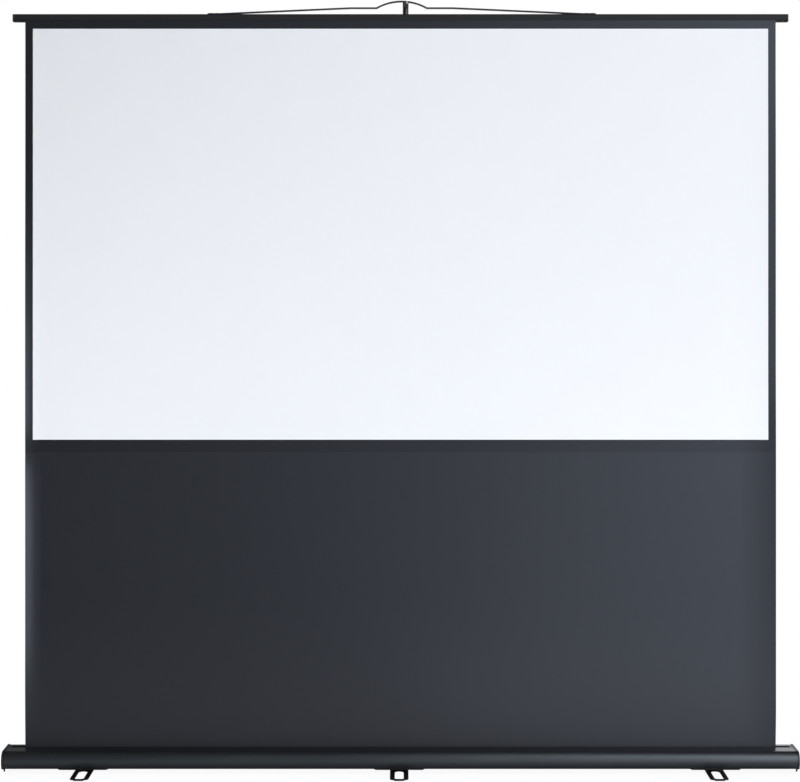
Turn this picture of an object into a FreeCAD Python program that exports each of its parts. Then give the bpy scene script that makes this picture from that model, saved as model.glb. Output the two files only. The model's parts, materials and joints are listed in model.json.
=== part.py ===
import FreeCAD, Part
import os
import re
import Sketcher

# Pull-up projection screen, in millimetres.
# +Z is up, the screen faces -Y, and z = 0 is the floor. The origin is on the floor under the middle of the
# base case. At rest the screen is pulled up and its handle hangs on the hook of the telescopic pole.

DIMENSIONS = {
    # base case
    "case_length": 1890.0,
    "case_depth": 80.0,
    "case_bottom": 12.4,
    "case_top": 52.5,
    "case_wall": 2.0,
    "case_edge": 3.0,
    "front_radius": 30.0,
    "front_y": -10.0,
    "front_z": 31.0,
    "brow_radius": 18.0,
    "slot_width": 14.0,
    # end caps of the case, with a nib that stands on the floor and a tongue in the end of the slot
    "cap_thickness": 5.0,
    "cap_rim": 1.0,
    "nib_y": -9.4,
    "nib_top": 10.0,
    "nib_tip": 4.0,
    "nib_thickness": 3.0,
    "tongue_length": 8.0,
    "boss_length": 6.0,
    "boss_radius": 4.0,
    "cap_screw_front": -24.0,
    "cap_screw_rear": 31.0,
    "cap_screw_radius": 1.75,
    "cap_screw_head": 3.4,
    "cap_head_height": 2.0,
    "play": 0.05,
    "drill_over": 1.0,
    # roller and its spring
    "roller_y": 7.4,
    "roller_z": 33.0,
    "tube_radius": 9.5,
    "tube_wall": 1.0,
    "tube_half": 925.0,
    "wraps_radius": 10.1,
    "plug_length": 20.0,
    "bracket_thickness": 3.0,
    "bracket_margin": 2.5,
    "shaft_radius": 4.0,
    "shaft_end": -400.0,
    "tang_width": 3.0,
    "tang_height": 7.0,
    "spring_outer": 7.0,
    "spring_inner": 5.2,
    "spring_gap": 5.0,
    # sheet
    "fabric_y": 18.0,
    "fabric_width": 1808.0,
    "fabric_thickness": 0.32,
    "fabric_top": 1810.0,
    "view_width": 1771.0,
    "view_bottom": 792.0,
    "view_top": 1782.0,
    "view_coat": 0.12,
    "seam_z": 763.0,
    # top bar
    "bar_length": 1863.0,
    "bar_cap": 3.0,
    "bar_front": 15.5,
    "bar_depth": 20.0,
    "bar_bottom": 1799.0,
    "bar_top": 1817.5,
    "bar_wall": 1.8,
    "bar_edge": 3.0,
    "lip_bottom": 1803.0,
    "lip_back": 17.7,
    "pocket_rear": 20.8,
    "pocket_top": 1811.0,
    "spigot_length": 12.0,
    # handle strap
    "handle_x": 3.0,
    "strap_width": 14.0,
    "strap_thickness": 2.8,
    "strap_y": 27.5,
    "tab_end": 468.0,
    "ramp_foot": 438.0,
    "ramp_top": 124.0,
    "strap_lift": 14.0,
    "arch_radius": 121.0,
    "arch_rise": 16.1,
    "rivet_radius": 2.0,
    "rivet_head": 3.5,
    "rivet_height": 1.2,
    "rivet_first": 446.0,
    "rivet_second": 460.0,
    # telescopic pole
    "pole_x": 12.5,
    "pole_y": 63.0,
    "lower_radius": 11.0,
    "middle_radius": 9.0,
    "upper_radius": 7.0,
    "pole_wall": 1.4,
    "lower_foot": 20.0,
    "lower_head": 640.0,
    "middle_foot": 575.0,
    "middle_head": 1240.0,
    "upper_foot": 1175.0,
    "upper_head": 1815.0,
    "bush_length": 25.0,
    # pole socket on the back of the case
    "socket_radius": 16.0,
    "socket_top": 74.0,
    "flange_half": 34.0,
    "flange_thickness": 4.0,
    "flange_bottom": 17.0,
    "flange_top": 50.0,
    "socket_screw_x": 26.0,
    "socket_screw_low": 24.0,
    "socket_screw_high": 43.0,
    # clamp collars of the pole
    "collar_wall": 6.0,
    "collar_below": 18.0,
    "collar_above": 14.0,
    "ear_reach": 11.0,
    "ear_half": 5.5,
    "ear_thickness": 8.0,
    "clamp_pin_out": 5.8,
    "clamp_pin_back": 6.0,
    "clamp_pin_radius": 2.0,
    "lever_hub": 4.6,
    "lever_gap": 1.6,
    "lever_thickness": 3.6,
    "lever_slack": 0.4,
    "lever_tip_across": 0.8,
    "lever_tip_back": 0.9,
    # hook on top of the pole
    "hook_plug": 25.0,
    "hook_arm_bottom": 1836.0,
    "hook_arm_top": 1846.2,
    "hook_arm_front": 13.5,
    "hook_seat_front": 19.9,
    "lip_top": 1848.4,
    "lip_low": 1842.0,
    "lip_split": 12.5,
    # feet
    "foot_spacing": 754.5,
    "foot_middle_x": -3.0,
    "foot_width": 44.0,
    "foot_half": 91.0,
    "foot_bow": 3.0,
    "foot_corner": 10.0,
    "foot_low": 1.0,
    "foot_high": 4.0,
    "foot_hole_radius": 10.5,
    "foot_hole_back": 14.0,
    "foot_hole_front": 84.0,
    "foot_hole_corner": 6.0,
    "hub_radius": 12.0,
    "hub_gap": 0.3,
    "pivot_radius": 4.0,
    "pivot_head": 7.0,
    "pivot_head_height": 1.5,
    "pad_depth": 8.0,
    "pad_width": 24.0,
    "pad_inset": 0.6,
    # plates that carry the feet
    "plate_width": 120.0,
    "plate_depth": 62.0,
    "plate_low": 9.5,
    "plate_corner": 8.0,
    "plate_screw_x": 48.0,
    "plate_screw_y": 22.0,
    "plate_screw_radius": 1.9,
    "plate_screw_head": 3.6,
    "plate_head_height": 1.4,
}

# an arc of an outline bulges outwards or inwards
OUT = 1
IN = -1

# the origin is on the floor, under the middle
MIDDLE = "0"
FLOOR = "0"

AXIS_TURNS = {
    "X": FreeCAD.Rotation(FreeCAD.Vector(0, 1, 0), 90),
    "Y": FreeCAD.Rotation(FreeCAD.Vector(1, 0, 0), -90),
    "Z": FreeCAD.Rotation(),
}

doc = FreeCAD.newDocument("ProjectionScreen")
sizes = doc.addObject("Spreadsheet::Sheet", "Sizes")
for row, (alias, size) in enumerate(DIMENSIONS.items(), start=1):
    sizes.set("A%d" % row, alias.replace("_", " "))
    sizes.set("B%d" % row, str(size))
    sizes.setAlias("B%d" % row, alias)
doc.recompute()

nodes = []


def bound(text):
    """An expression in plain dimension names, as an expression on the spreadsheet."""
    return re.sub(r"[a-z]\w+", lambda word: ("Sizes." if word[0] in DIMENSIONS else "") + word[0], text)


def size_of(text):
    """The present value of an expression in plain dimension names."""
    return float(sizes.evalExpression(bound(text)))


def bind(item, **expressions):
    """Tie properties of an object to the spreadsheet."""
    for name, text in expressions.items():
        item.setExpression(name, bound(text))


def place(item, x, y, z):
    """Tie an object's place to the spreadsheet."""
    for letter, text in zip("xyz", (x, y, z)):
        item.setExpression("Placement.Base." + letter, bound(text))


def node(item, label):
    """Make an object one of the sub-parts."""
    item.Label = label
    nodes.append(item)
    return item


# Plain solids

def box(name, x, y, z):
    """A box between two places on each axis, each given as a pair of expressions."""
    item = doc.addObject("Part::Box", name)
    spans = ["(%s) - (%s)" % (high, low) for low, high in (x, y, z)]
    bind(item, Length=spans[0], Width=spans[1], Height=spans[2])
    place(item, x[0], y[0], z[0])
    return item


def rod(name, axis, foot, radius, length):
    """A cylinder from its foot along an axis."""
    item = doc.addObject("Part::Cylinder", name)
    item.Placement = FreeCAD.Placement(FreeCAD.Vector(), AXIS_TURNS[axis])
    bind(item, Radius=radius, Height=length)
    place(item, *foot)
    return item


def fuse(name, *parts):
    item = doc.addObject("Part::MultiFuse", name)
    item.Shapes = list(parts)
    item.Refine = True
    return item


def cut(name, base, *tools):
    """A solid with one or more tools taken out of it."""
    item = doc.addObject("Part::Cut", name)
    item.Base = base
    item.Tool = tools[0] if len(tools) == 1 else group(name + "_tools", *tools)
    return item


def group(name, *parts):
    """Separate solids kept together as one sub-part."""
    item = doc.addObject("Part::Compound", name)
    item.Links = list(parts)
    return item


def tube(name, axis, foot, outer, inner, length):
    """A cylinder with a hole all the way through."""
    return cut(name, rod(name + "_outside", axis, foot, outer, length),
               rod(name + "_bore", axis, foot, inner, length))


# Sketched solids

def arc_middle(start, end, radius, side):
    """The middle point of the shorter arc between two points, bulging out of or into a left-hand outline."""
    along = end - start
    half = along.Length / 2
    rise = radius - max(radius ** 2 - half ** 2, 0) ** 0.5
    outward = FreeCAD.Vector(along.y, -along.x, 0).normalize()
    return (start + end) / 2 + outward * rise * side


def draw(sketch, corners):
    """A closed outline, left-hand round, of corners (u, v) or, where an arc follows, (u, v, radius, side)."""
    points = [FreeCAD.Vector(size_of(corner[0]), size_of(corner[1]), 0) for corner in corners]
    edges = []
    for corner, start, end in zip(corners, points, points[1:] + points[:1]):
        if len(corner) == 2:
            edges.append((sketch.addGeometry(Part.LineSegment(start, end), False), 1, 2))
            continue
        middle = arc_middle(start, end, size_of(corner[2]), corner[3])
        edge = sketch.addGeometry(Part.Arc(start, middle, end), False)
        edges.append((edge, 1, 2) if corner[3] == OUT else (edge, 2, 1))
        radius = sketch.addConstraint(Sketcher.Constraint("Radius", edge, size_of(corner[2])))
        sketch.setExpression("Constraints[%d]" % radius, bound(corner[2]))
    for (edge, _, last), (following, first, _) in zip(edges, edges[1:] + edges[:1]):
        sketch.addConstraint(Sketcher.Constraint("Coincident", edge, last, following, first))
    for corner, point, (edge, first, _) in zip(corners, points, edges):
        for kind, text, place_now in (("DistanceX", corner[0], point.x), ("DistanceY", corner[1], point.y)):
            mark = sketch.addConstraint(Sketcher.Constraint(kind, -1, 1, edge, first, place_now))
            sketch.setExpression("Constraints[%d]" % mark, bound(text))


def extrusion(name, plane, start, length, *outlines):
    """A body padded from a sketch on the XY, YZ or XZ plane, from a start place along the third axis."""
    body = doc.addObject("PartDesign::Body", name)
    sketch = body.newObject("Sketcher::SketchObject", name + "_outline")
    support = [item for item in body.Origin.OriginFeatures if item.Role == plane + "_Plane"]
    sketch.AttachmentSupport = (support[0], "")
    sketch.MapMode = "FlatFace"
    faces_back = plane == "XZ"
    sketch.setExpression("AttachmentOffset.Base.z", bound("-(%s)" % start if faces_back else start))
    for corners in outlines:
        draw(sketch, corners)
    pad = body.newObject("PartDesign::Pad", name + "_pad")
    pad.Profile = sketch
    pad.Reversed = faces_back
    bind(pad, Length=length)
    sketch.Visibility = False
    return body


def rectangle(low_u, low_v, high_u, high_v):
    return [(low_u, low_v), (high_u, low_v), (high_u, high_v), (low_u, high_v)]


def rounded(low_u, low_v, high_u, high_v, radius):
    """A rectangle with round corners."""
    inner_low_u, inner_high_u = "%s + %s" % (low_u, radius), "%s - %s" % (high_u, radius)
    inner_low_v, inner_high_v = "%s + %s" % (low_v, radius), "%s - %s" % (high_v, radius)
    return [
        (inner_low_u, low_v), (inner_high_u, low_v, radius, OUT),
        (high_u, inner_low_v), (high_u, inner_high_v, radius, OUT),
        (inner_high_u, high_v), (inner_low_u, high_v, radius, OUT),
        (low_u, inner_high_v), (low_u, inner_low_v, radius, OUT),
    ]


# Base case: an extrusion that is open along its top for the sheet

def front_at(level, radius):
    """Where the rounded front of the case stands at a level."""
    return "front_y - sqrt((%s)^2 - (%s - front_z)^2)" % (radius, level)


brow_z = "(case_top - brow_radius)"
brow_y = "(front_y - sqrt((front_radius - brow_radius)^2 - (%s - front_z)^2))" % brow_z


def brow_end(radius):
    """Where the tighter curve under the top edge runs into the rounded front."""
    share = "(%s) / (front_radius - brow_radius)" % radius
    y = "front_y + (%s - front_y) * %s" % (brow_y, share)
    z = "front_z + (%s - front_z) * %s" % (brow_z, share)
    return y, z


def case_outline(grow):
    """The outside of the case, or of an end cap that stands proud of it by grow."""
    low, high = "case_bottom - %s" % grow, "case_top + %s" % grow
    rear, radius = "case_depth / 2 + %s" % grow, "front_radius + %s" % grow
    return [
        (brow_y, high, "brow_radius + %s" % grow, OUT),
        (*brow_end(radius), radius, OUT),
        (front_at("(%s)" % low, radius), low),
        (rear + " - case_edge", low, "case_edge", OUT),
        (rear, low + " + case_edge"),
        (rear, high + " - case_edge", "case_edge", OUT),
        (rear + " - case_edge", high),
    ]


slot_front = "fabric_y - slot_width / 2"
slot_rear = "fabric_y + slot_width / 2"
inner_low = "case_bottom + case_wall"
inner_high = "case_top - case_wall"
inner_rear = "case_depth / 2 - case_wall"
inner_radius = "front_radius - case_wall"
case_section = case_outline("0") + [
    (slot_rear, "case_top"),
    (slot_rear, inner_high),
    (inner_rear, inner_high),
    (inner_rear, inner_low),
    (front_at("(%s)" % inner_low, inner_radius), inner_low, inner_radius, IN),
    (*brow_end(inner_radius), "brow_radius - case_wall", IN),
    (brow_y, inner_high),
    (slot_front, inner_high),
    (slot_front, "case_top"),
]
case_blank = extrusion("case_blank", "YZ", "-case_length / 2", "case_length", case_section)

foot_places = {
    "left": "foot_middle_x - foot_spacing",
    "centre": "foot_middle_x",
    "right": "foot_middle_x + foot_spacing",
}
plate_corners = [(across, along) for across in ("-", "+") for along in ("-", "+")]


def plate_rods(name, side, radius, low, length):
    """Rods at the four screws of one foot plate."""
    return [
        rod("%s_%s_%d" % (name, side, index), "Z",
            ("%s %s plate_screw_x" % (foot_places[side], across), "%s plate_screw_y" % along, low),
            radius, length)
        for index, (across, along) in enumerate(plate_corners)
    ]


socket_screw_places = [
    ("pole_x %s socket_screw_x" % across, level)
    for across in ("-", "+")
    for level in ("socket_screw_low", "socket_screw_high")
]


def socket_rods(name, radius, start, length):
    """Rods at the four screws of the pole socket."""
    return [
        rod("%s_%d" % (name, index), "Y", (x, start, z), radius, length)
        for index, (x, z) in enumerate(socket_screw_places)
    ]


case_back = "case_depth / 2"
node(cut("case_drilled", case_blank,
         *[hole for side in foot_places
           for hole in plate_rods("case_plate_hole", side, "plate_screw_radius + play",
                                  "case_bottom - drill_over", "case_wall + 2 * drill_over")],
         *socket_rods("case_socket_hole", "plate_screw_radius + play", inner_rear + " - drill_over",
                      "case_wall + 2 * drill_over")),
     "case_extrusion")


# End caps of the case, brackets of the roller and the screws that hold both

cap_screw_places = ("cap_screw_front", "cap_screw_rear")
cap_screws = []
for side, sign in (("left", "-"), ("right", "+")):
    inner_face = "%s case_length / 2" % sign
    outer_face = "%s (case_length / 2 + cap_thickness)" % sign
    bracket_face = "%s (case_length / 2 - boss_length)" % sign
    bracket_back = "%s (case_length / 2 - boss_length - bracket_thickness)" % sign
    head_seat = "%s (case_length / 2 + cap_thickness - cap_head_height)" % sign
    nib_face = "%s (case_length / 2 + cap_thickness - nib_thickness)" % sign
    tongue_face = "%s (case_length / 2 - tongue_length)" % sign
    first_x = outer_face if side == "left" else inner_face
    nib_x = outer_face if side == "left" else nib_face
    tongue_x = (inner_face, tongue_face) if side == "left" else (tongue_face, inner_face)
    boss_x = inner_face if side == "left" else bracket_face
    through_x = outer_face if side == "left" else bracket_back
    through_length = "cap_thickness + boss_length + bracket_thickness"
    head_x = outer_face if side == "left" else head_seat
    plate_x = bracket_face if side == "left" else bracket_back

    cap_plate = extrusion("cap_plate_" + side, "YZ", first_x, "cap_thickness", case_outline("cap_rim"))
    cap_nib = extrusion("cap_nib_" + side, "YZ", nib_x, "nib_thickness", [
        ("nib_y - nib_tip / 2", FLOOR), ("nib_y + nib_tip / 2", FLOOR),
        ("nib_y + nib_top / 2", "case_bottom"), ("nib_y - nib_top / 2", "case_bottom"),
    ])
    tongue = box("cap_tongue_" + side, tongue_x, (slot_front + " + play", slot_rear + " - play"),
                 (inner_high, "case_top"))
    bosses = [rod("cap_boss_%s_%s" % (side, y), "X", (boss_x, y, "roller_z"), "boss_radius", "boss_length")
              for y in cap_screw_places]
    holes = [rod("cap_hole_%s_%s" % (side, y), "X", (through_x, y, "roller_z"),
                 "cap_screw_radius + play", through_length) for y in cap_screw_places]
    recesses = [rod("cap_recess_%s_%s" % (side, y), "X", (head_x, y, "roller_z"),
                    "cap_screw_head + 2 * play", "cap_head_height") for y in cap_screw_places]
    node(cut("cap_" + side, fuse("cap_whole_" + side, cap_plate, cap_nib, tongue, *bosses),
             *holes, *recesses), "case_end_cap_" + side)

    for y in cap_screw_places:
        shank = rod("cap_shank_%s_%s" % (side, y), "X", (through_x, y, "roller_z"),
                    "cap_screw_radius", through_length)
        head = rod("cap_head_%s_%s" % (side, y), "X", (head_x, y, "roller_z"),
                   "cap_screw_head", "cap_head_height")
        cap_screws.append(fuse("cap_screw_%s_%s" % (side, y), shank, head))

    bracket_plate = extrusion("bracket_plate_" + side, "YZ", plate_x, "bracket_thickness", rectangle(
        "cap_screw_front - boss_radius", inner_low + " + bracket_margin",
        "cap_screw_rear + boss_radius", inner_high + " - bracket_margin"))
    bracket_holes = [rod("bracket_hole_%s_%s" % (side, y), "X", (through_x, y, "roller_z"),
                         "cap_screw_radius + play", through_length) for y in cap_screw_places]
    if side == "left":
        seat = box("tang_slot", (plate_x, plate_x + " + bracket_thickness"),
                   ("roller_y - tang_width / 2 - play", "roller_y + tang_width / 2 + play"),
                   ("roller_z - tang_height / 2 - play", "roller_z + tang_height / 2 + play"))
    else:
        seat = rod("idle_hole", "X", (plate_x, "roller_y", "roller_z"), "shaft_radius + play",
                   "bracket_thickness")
    node(cut("bracket_" + side, bracket_plate, seat, *bracket_holes), "roller_bracket_" + side)
node(group("cap_screws", *cap_screws), "end_cap_screws")


# Roller: a tube that turns on the fixed spring shaft at its left and on a stub at its right

roller_axis = ("roller_y", "roller_z")
tube_inside = "tube_radius - tube_wall"
left_bracket_back = "-(case_length / 2 - boss_length - bracket_thickness)"
node(tube("roller_sleeve", "X", ("-tube_half", *roller_axis), "tube_radius", tube_inside, "2 * tube_half"),
     "roller_tube")
node(tube("wraps", "X", ("-fabric_width / 2", *roller_axis), "wraps_radius", "tube_radius", "fabric_width"),
     "fabric_wraps")
node(tube("plug_at_spring", "X", ("-tube_half", *roller_axis), tube_inside, "shaft_radius + play",
          "plug_length"), "spring_plug")
node(tube("plug_at_shaft_end", "X", ("shaft_end - plug_length", *roller_axis), tube_inside,
          "shaft_radius + play", "plug_length"), "spring_anchor")
idle_body = rod("idle_body", "X", ("tube_half - plug_length", *roller_axis), tube_inside, "plug_length")
idle_stub = rod("idle_stub", "X", ("tube_half", *roller_axis), "shaft_radius",
                "case_length / 2 - boss_length - tube_half")
node(fuse("idle", idle_body, idle_stub), "idle_plug")

shaft_bar = rod("shaft_bar", "X", (left_bracket_back, *roller_axis), "shaft_radius",
                "shaft_end - (%s)" % left_bracket_back)
shaft_tang = box("shaft_tang", (left_bracket_back + " - bracket_thickness", left_bracket_back),
                 ("roller_y - tang_width / 2", "roller_y + tang_width / 2"),
                 ("roller_z - tang_height / 2", "roller_z + tang_height / 2"))
node(fuse("shaft", shaft_bar, shaft_tang), "spring_shaft")
spring_foot = "-tube_half + plug_length + spring_gap"
node(tube("spring", "X", (spring_foot, *roller_axis), "spring_outer", "spring_inner",
          "shaft_end - plug_length - spring_gap - (%s)" % spring_foot), "torsion_spring")


# Sheet: black masked sheet with the white surface let into its front, and the black drop sheet below it

sheet_front = "fabric_y - fabric_thickness / 2"
sheet_back = "fabric_y + fabric_thickness / 2"
sheet_x = ("-fabric_width / 2", "fabric_width / 2")
white_box = [("-view_width / 2", "view_width / 2"), (sheet_front, sheet_front + " + view_coat"),
             ("view_bottom", "view_top")]
node(box("white", *white_box), "white_viewing_surface")
node(cut("masked", box("masked_whole", sheet_x, (sheet_front, sheet_back), ("seam_z", "fabric_top")),
         box("white_recess", *white_box)), "masked_sheet")
node(box("drop", sheet_x, (sheet_front, sheet_back), ("roller_z", "seam_z")), "drop_sheet")


# Top bar: an extrusion with a pocket for the sheet behind its front lip

bar_rear = "bar_front + bar_depth"


def bar_section(pocket):
    """The bar's outline, with the sheet's pocket or, for an end cap, without it."""
    return [
        ("bar_front + bar_edge", "bar_top", "bar_edge", OUT),
        ("bar_front", "bar_top - bar_edge"),
        *pocket,
        (bar_rear + " - bar_edge", "bar_bottom", "bar_edge", OUT),
        (bar_rear, "bar_bottom + bar_edge"),
        (bar_rear, "bar_top - bar_edge", "bar_edge", OUT),
        (bar_rear + " - bar_edge", "bar_top"),
    ]


sheet_pocket = [
    ("bar_front", "lip_bottom"), ("lip_back", "lip_bottom"), ("lip_back", "pocket_top"),
    ("pocket_rear", "pocket_top"), ("pocket_rear", "bar_bottom"),
]
hollow_low = ("pocket_rear + bar_wall", "bar_bottom + bar_wall")
hollow_high = (bar_rear + " - bar_wall", "bar_top - bar_wall")
rivet_places = [
    "handle_x %s %s" % (sign, place_along)
    for sign in ("-", "+")
    for place_along in ("rivet_first", "rivet_second")
]


def rivet_holes(name):
    """Rods at the four rivets of the handle."""
    return [
        rod("%s_%d" % (name, index), "Z", (x, "strap_y", "bar_top - bar_wall - drill_over"),
            "rivet_radius + play", "bar_wall + strap_thickness + 2 * drill_over")
        for index, x in enumerate(rivet_places)
    ]


bar_blank = extrusion("bar_blank", "YZ", "-bar_length / 2", "bar_length", bar_section(sheet_pocket),
                      rectangle(*hollow_low, *hollow_high))
node(cut("bar_drilled", bar_blank, *rivet_holes("bar_rivet_hole")), "top_bar_extrusion")

for side, cap_x, spigot_x in (
        ("left", "-bar_length / 2 - bar_cap", "-bar_length / 2"),
        ("right", "bar_length / 2", "bar_length / 2 - spigot_length")):
    bar_cap_plate = extrusion("bar_cap_plate_" + side, "YZ", cap_x, "bar_cap",
                              bar_section([("bar_front", "bar_bottom")]))
    spigot = box("bar_spigot_" + side, (spigot_x, spigot_x + " + spigot_length"),
                 (hollow_low[0] + " + play", hollow_high[0] + " - play"),
                 (hollow_low[1] + " + play", hollow_high[1] + " - play"))
    node(fuse("bar_cap_" + side, bar_cap_plate, spigot), "top_bar_cap_" + side)

node(box("clamp_strip", sheet_x, (sheet_back + " + play", "pocket_rear"),
         ("bar_bottom + bar_wall", "pocket_top")), "fabric_clamp_strip")


# Handle: a flat strap riveted to the bar, which rises to an arch over the hook

flat_low = "bar_top + strap_lift"
flat_high = "bar_top + strap_lift + strap_thickness"
arch_outer = "arch_radius + strap_thickness"
arch_centre = "(bar_top + strap_lift + arch_rise - arch_radius)"
kink_low = "sqrt(arch_radius^2 - (%s - %s)^2)" % (flat_low, arch_centre)
kink_high = "sqrt((%s)^2 - (%s - %s)^2)" % (arch_outer, flat_high, arch_centre)
strap_outline = [
    ("handle_x - tab_end", "bar_top"), ("handle_x - ramp_foot", "bar_top"),
    ("handle_x - ramp_top", flat_low), ("handle_x - " + kink_low, flat_low, "arch_radius", IN),
    ("handle_x + " + kink_low, flat_low), ("handle_x + ramp_top", flat_low),
    ("handle_x + ramp_foot", "bar_top"), ("handle_x + tab_end", "bar_top"),
    ("handle_x + tab_end", "bar_top + strap_thickness"),
    ("handle_x + ramp_foot", "bar_top + strap_thickness"),
    ("handle_x + ramp_top", flat_high), ("handle_x + " + kink_high, flat_high, arch_outer, OUT),
    ("handle_x - " + kink_high, flat_high), ("handle_x - ramp_top", flat_high),
    ("handle_x - ramp_foot", "bar_top + strap_thickness"),
    ("handle_x - tab_end", "bar_top + strap_thickness"),
]
strap_blank = extrusion("strap_blank", "XZ", "strap_y - strap_width / 2", "strap_width", strap_outline)
node(cut("strap_drilled", strap_blank, *rivet_holes("strap_rivet_hole")), "handle_strap")

rivets = []
for index, x in enumerate(rivet_places):
    rivet_shank = rod("rivet_shank_%d" % index, "Z", (x, "strap_y", "bar_top - bar_wall"), "rivet_radius",
                      "bar_wall + strap_thickness")
    rivet_cap = rod("rivet_cap_%d" % index, "Z", (x, "strap_y", "bar_top + strap_thickness"), "rivet_head",
                    "rivet_height")
    rivets.append(fuse("rivet_%d" % index, rivet_shank, rivet_cap))
node(group("rivets", *rivets), "handle_rivets")


# Pole: three tubes that slide in each other, with a glide bush on the foot of each inner one

def pole_foot(level):
    return ("pole_x", "pole_y", level)


def pole_tube(name, radius, low, high):
    return tube(name, "Z", pole_foot(low), radius, radius + " - pole_wall", "%s - %s" % (high, low))


node(pole_tube("lower_section", "lower_radius", "lower_foot", "lower_head"), "pole_lower_tube")
node(pole_tube("middle_section", "middle_radius", "middle_foot", "middle_head"), "pole_middle_tube")
node(pole_tube("upper_section", "upper_radius", "upper_foot", "upper_head"), "pole_upper_tube")
for section, around in (("middle", "lower"), ("upper", "middle")):
    node(tube(section + "_glide", "Z", pole_foot(section + "_foot"), around + "_radius - pole_wall - play",
              section + "_radius", "bush_length"), "pole_%s_bush" % section)


# Pole socket: a moulding screwed to the back of the case

socket_back = "case_depth / 2 + flange_thickness"
flange = box("socket_flange", ("pole_x - flange_half", "pole_x + flange_half"), (case_back, socket_back),
             ("flange_bottom", "flange_top"))
web = box("socket_web", ("pole_x - socket_radius", "pole_x + socket_radius"), (case_back, "pole_y"),
          ("flange_bottom", "flange_top"))
barrel = rod("socket_barrel", "Z", pole_foot("flange_bottom"), "socket_radius", "socket_top - flange_bottom")
socket_bore = rod("socket_bore", "Z", pole_foot("lower_foot"), "lower_radius + play", "socket_top")
node(cut("socket", fuse("socket_whole", flange, web, barrel), socket_bore,
         *socket_rods("socket_hole", "plate_screw_radius + play", case_back, "flange_thickness")),
     "pole_socket")
socket_shanks = socket_rods("socket_shank", "plate_screw_radius", inner_rear, "case_wall + flange_thickness")
socket_heads = socket_rods("socket_head", "plate_screw_head", socket_back, "plate_head_height")
node(group("screws_of_socket", *[fuse("socket_screw_%d" % index, *pair)
                                 for index, pair in enumerate(zip(socket_shanks, socket_heads))]),
     "pole_socket_screws")


# Clamps: a collar on the head of each outer tube, with two ears, a pin and a curved lever between the ears

def lever_tip(reach):
    """A corner of the lever's free end, a share of its reach across and back from the pole's axis."""
    return ("pole_x + %s * lever_tip_across" % reach, "pole_y + %s * lever_tip_back" % reach)


def clamp(section, outer, inner, head):
    """Collar, pin and lever at the head of a tube, round the tube that slides in it."""
    low, high = head + " - collar_below", head + " + collar_above"
    collar_radius = outer + " + collar_wall"
    pin_x = "pole_x - (%s) - clamp_pin_out" % collar_radius
    pin_y = "pole_y + clamp_pin_back"
    height = "collar_below + collar_above"
    sleeve = rod(section + "_collar_sleeve", "Z", pole_foot(low), collar_radius, height)
    ear_x = ("pole_x - (%s) - ear_reach" % collar_radius, "pole_x - (%s) / 2" % collar_radius)
    ear_y = (pin_y + " - ear_half", pin_y + " + ear_half")
    ears = [
        box(section + "_ear_low", ear_x, ear_y, (low, low + " + ear_thickness")),
        box(section + "_ear_high", ear_x, ear_y, (high + " - ear_thickness", high)),
    ]
    pin_foot = (pin_x, pin_y, low)
    node(cut(section + "_collar", fuse(section + "_collar_whole", sleeve, *ears),
             rod(section + "_collar_seat", "Z", pole_foot(low), outer + " + play", "collar_below"),
             rod(section + "_collar_neck", "Z", pole_foot(head), inner + " + play", "collar_above"),
             rod(section + "_ear_hole", "Z", pin_foot, "clamp_pin_radius + play", height)),
         "pole_%s_clamp_collar" % section)
    node(rod(section + "_pin", "Z", pin_foot, "clamp_pin_radius", height), "pole_%s_clamp_pin" % section)

    lever_low = low + " + ear_thickness + lever_slack"
    lever_height = "collar_below + collar_above - 2 * ear_thickness - 2 * lever_slack"
    inside = "(%s + lever_gap)" % collar_radius
    outside = "(%s + lever_gap + lever_thickness)" % collar_radius
    sweep_out = "pole_y + %s" % outside
    sweep_in = "pole_y + %s" % inside
    arm = extrusion(section + "_lever_arm", "XY", lever_low, lever_height, [
        ("pole_x - %s" % outside, pin_y), ("pole_x - %s" % inside, pin_y, inside, IN),
        ("pole_x", sweep_in), lever_tip(inside), lever_tip(outside),
        ("pole_x", sweep_out, outside, OUT),
    ])
    hub = rod(section + "_lever_hub", "Z", (pin_x, pin_y, lever_low), "lever_hub", lever_height)
    hub_hole = rod(section + "_lever_hole", "Z", (pin_x, pin_y, lever_low), "clamp_pin_radius + play",
                   lever_height)
    node(cut(section + "_lever", fuse(section + "_lever_whole", arm, hub), hub_hole),
         "pole_%s_clamp_lever" % section)


clamp("lower", "lower_radius", "middle_radius", "lower_head")
clamp("upper", "middle_radius", "upper_radius", "middle_head")


# Hook: a head plugged into the upper tube, with an arm under the arch and a lip in front of the strap

hook_x = ("pole_x - upper_radius", "pole_x + upper_radius")
hook_plug = rod("hook_plug_part", "Z", pole_foot("upper_head - hook_plug"), "upper_radius - pole_wall - play",
                "hook_plug")
hook_head = rod("hook_head", "Z", pole_foot("upper_head"), "upper_radius", "hook_arm_top - upper_head")
hook_arm = box("hook_arm", hook_x, ("hook_arm_front", "pole_y"), ("hook_arm_bottom", "hook_arm_top"))
hook_step = box("hook_step", ("lip_split", hook_x[1]), ("hook_arm_front", "hook_seat_front"),
                ("lip_low", "hook_arm_top"))
hook_lip = box("hook_lip", (hook_x[0], "lip_split"), ("hook_arm_front", "hook_seat_front"),
               ("hook_arm_bottom", "lip_top"))
hook_whole = fuse("hook_whole", hook_plug, hook_head, hook_arm, hook_lip)
node(cut("hook", hook_whole, hook_step), "pole_hook")


# Feet: flat loops that turn on a pin under their plate, with rubber pads under both ends

foot_middle = "foot_hole_back + foot_hole_radius"


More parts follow.
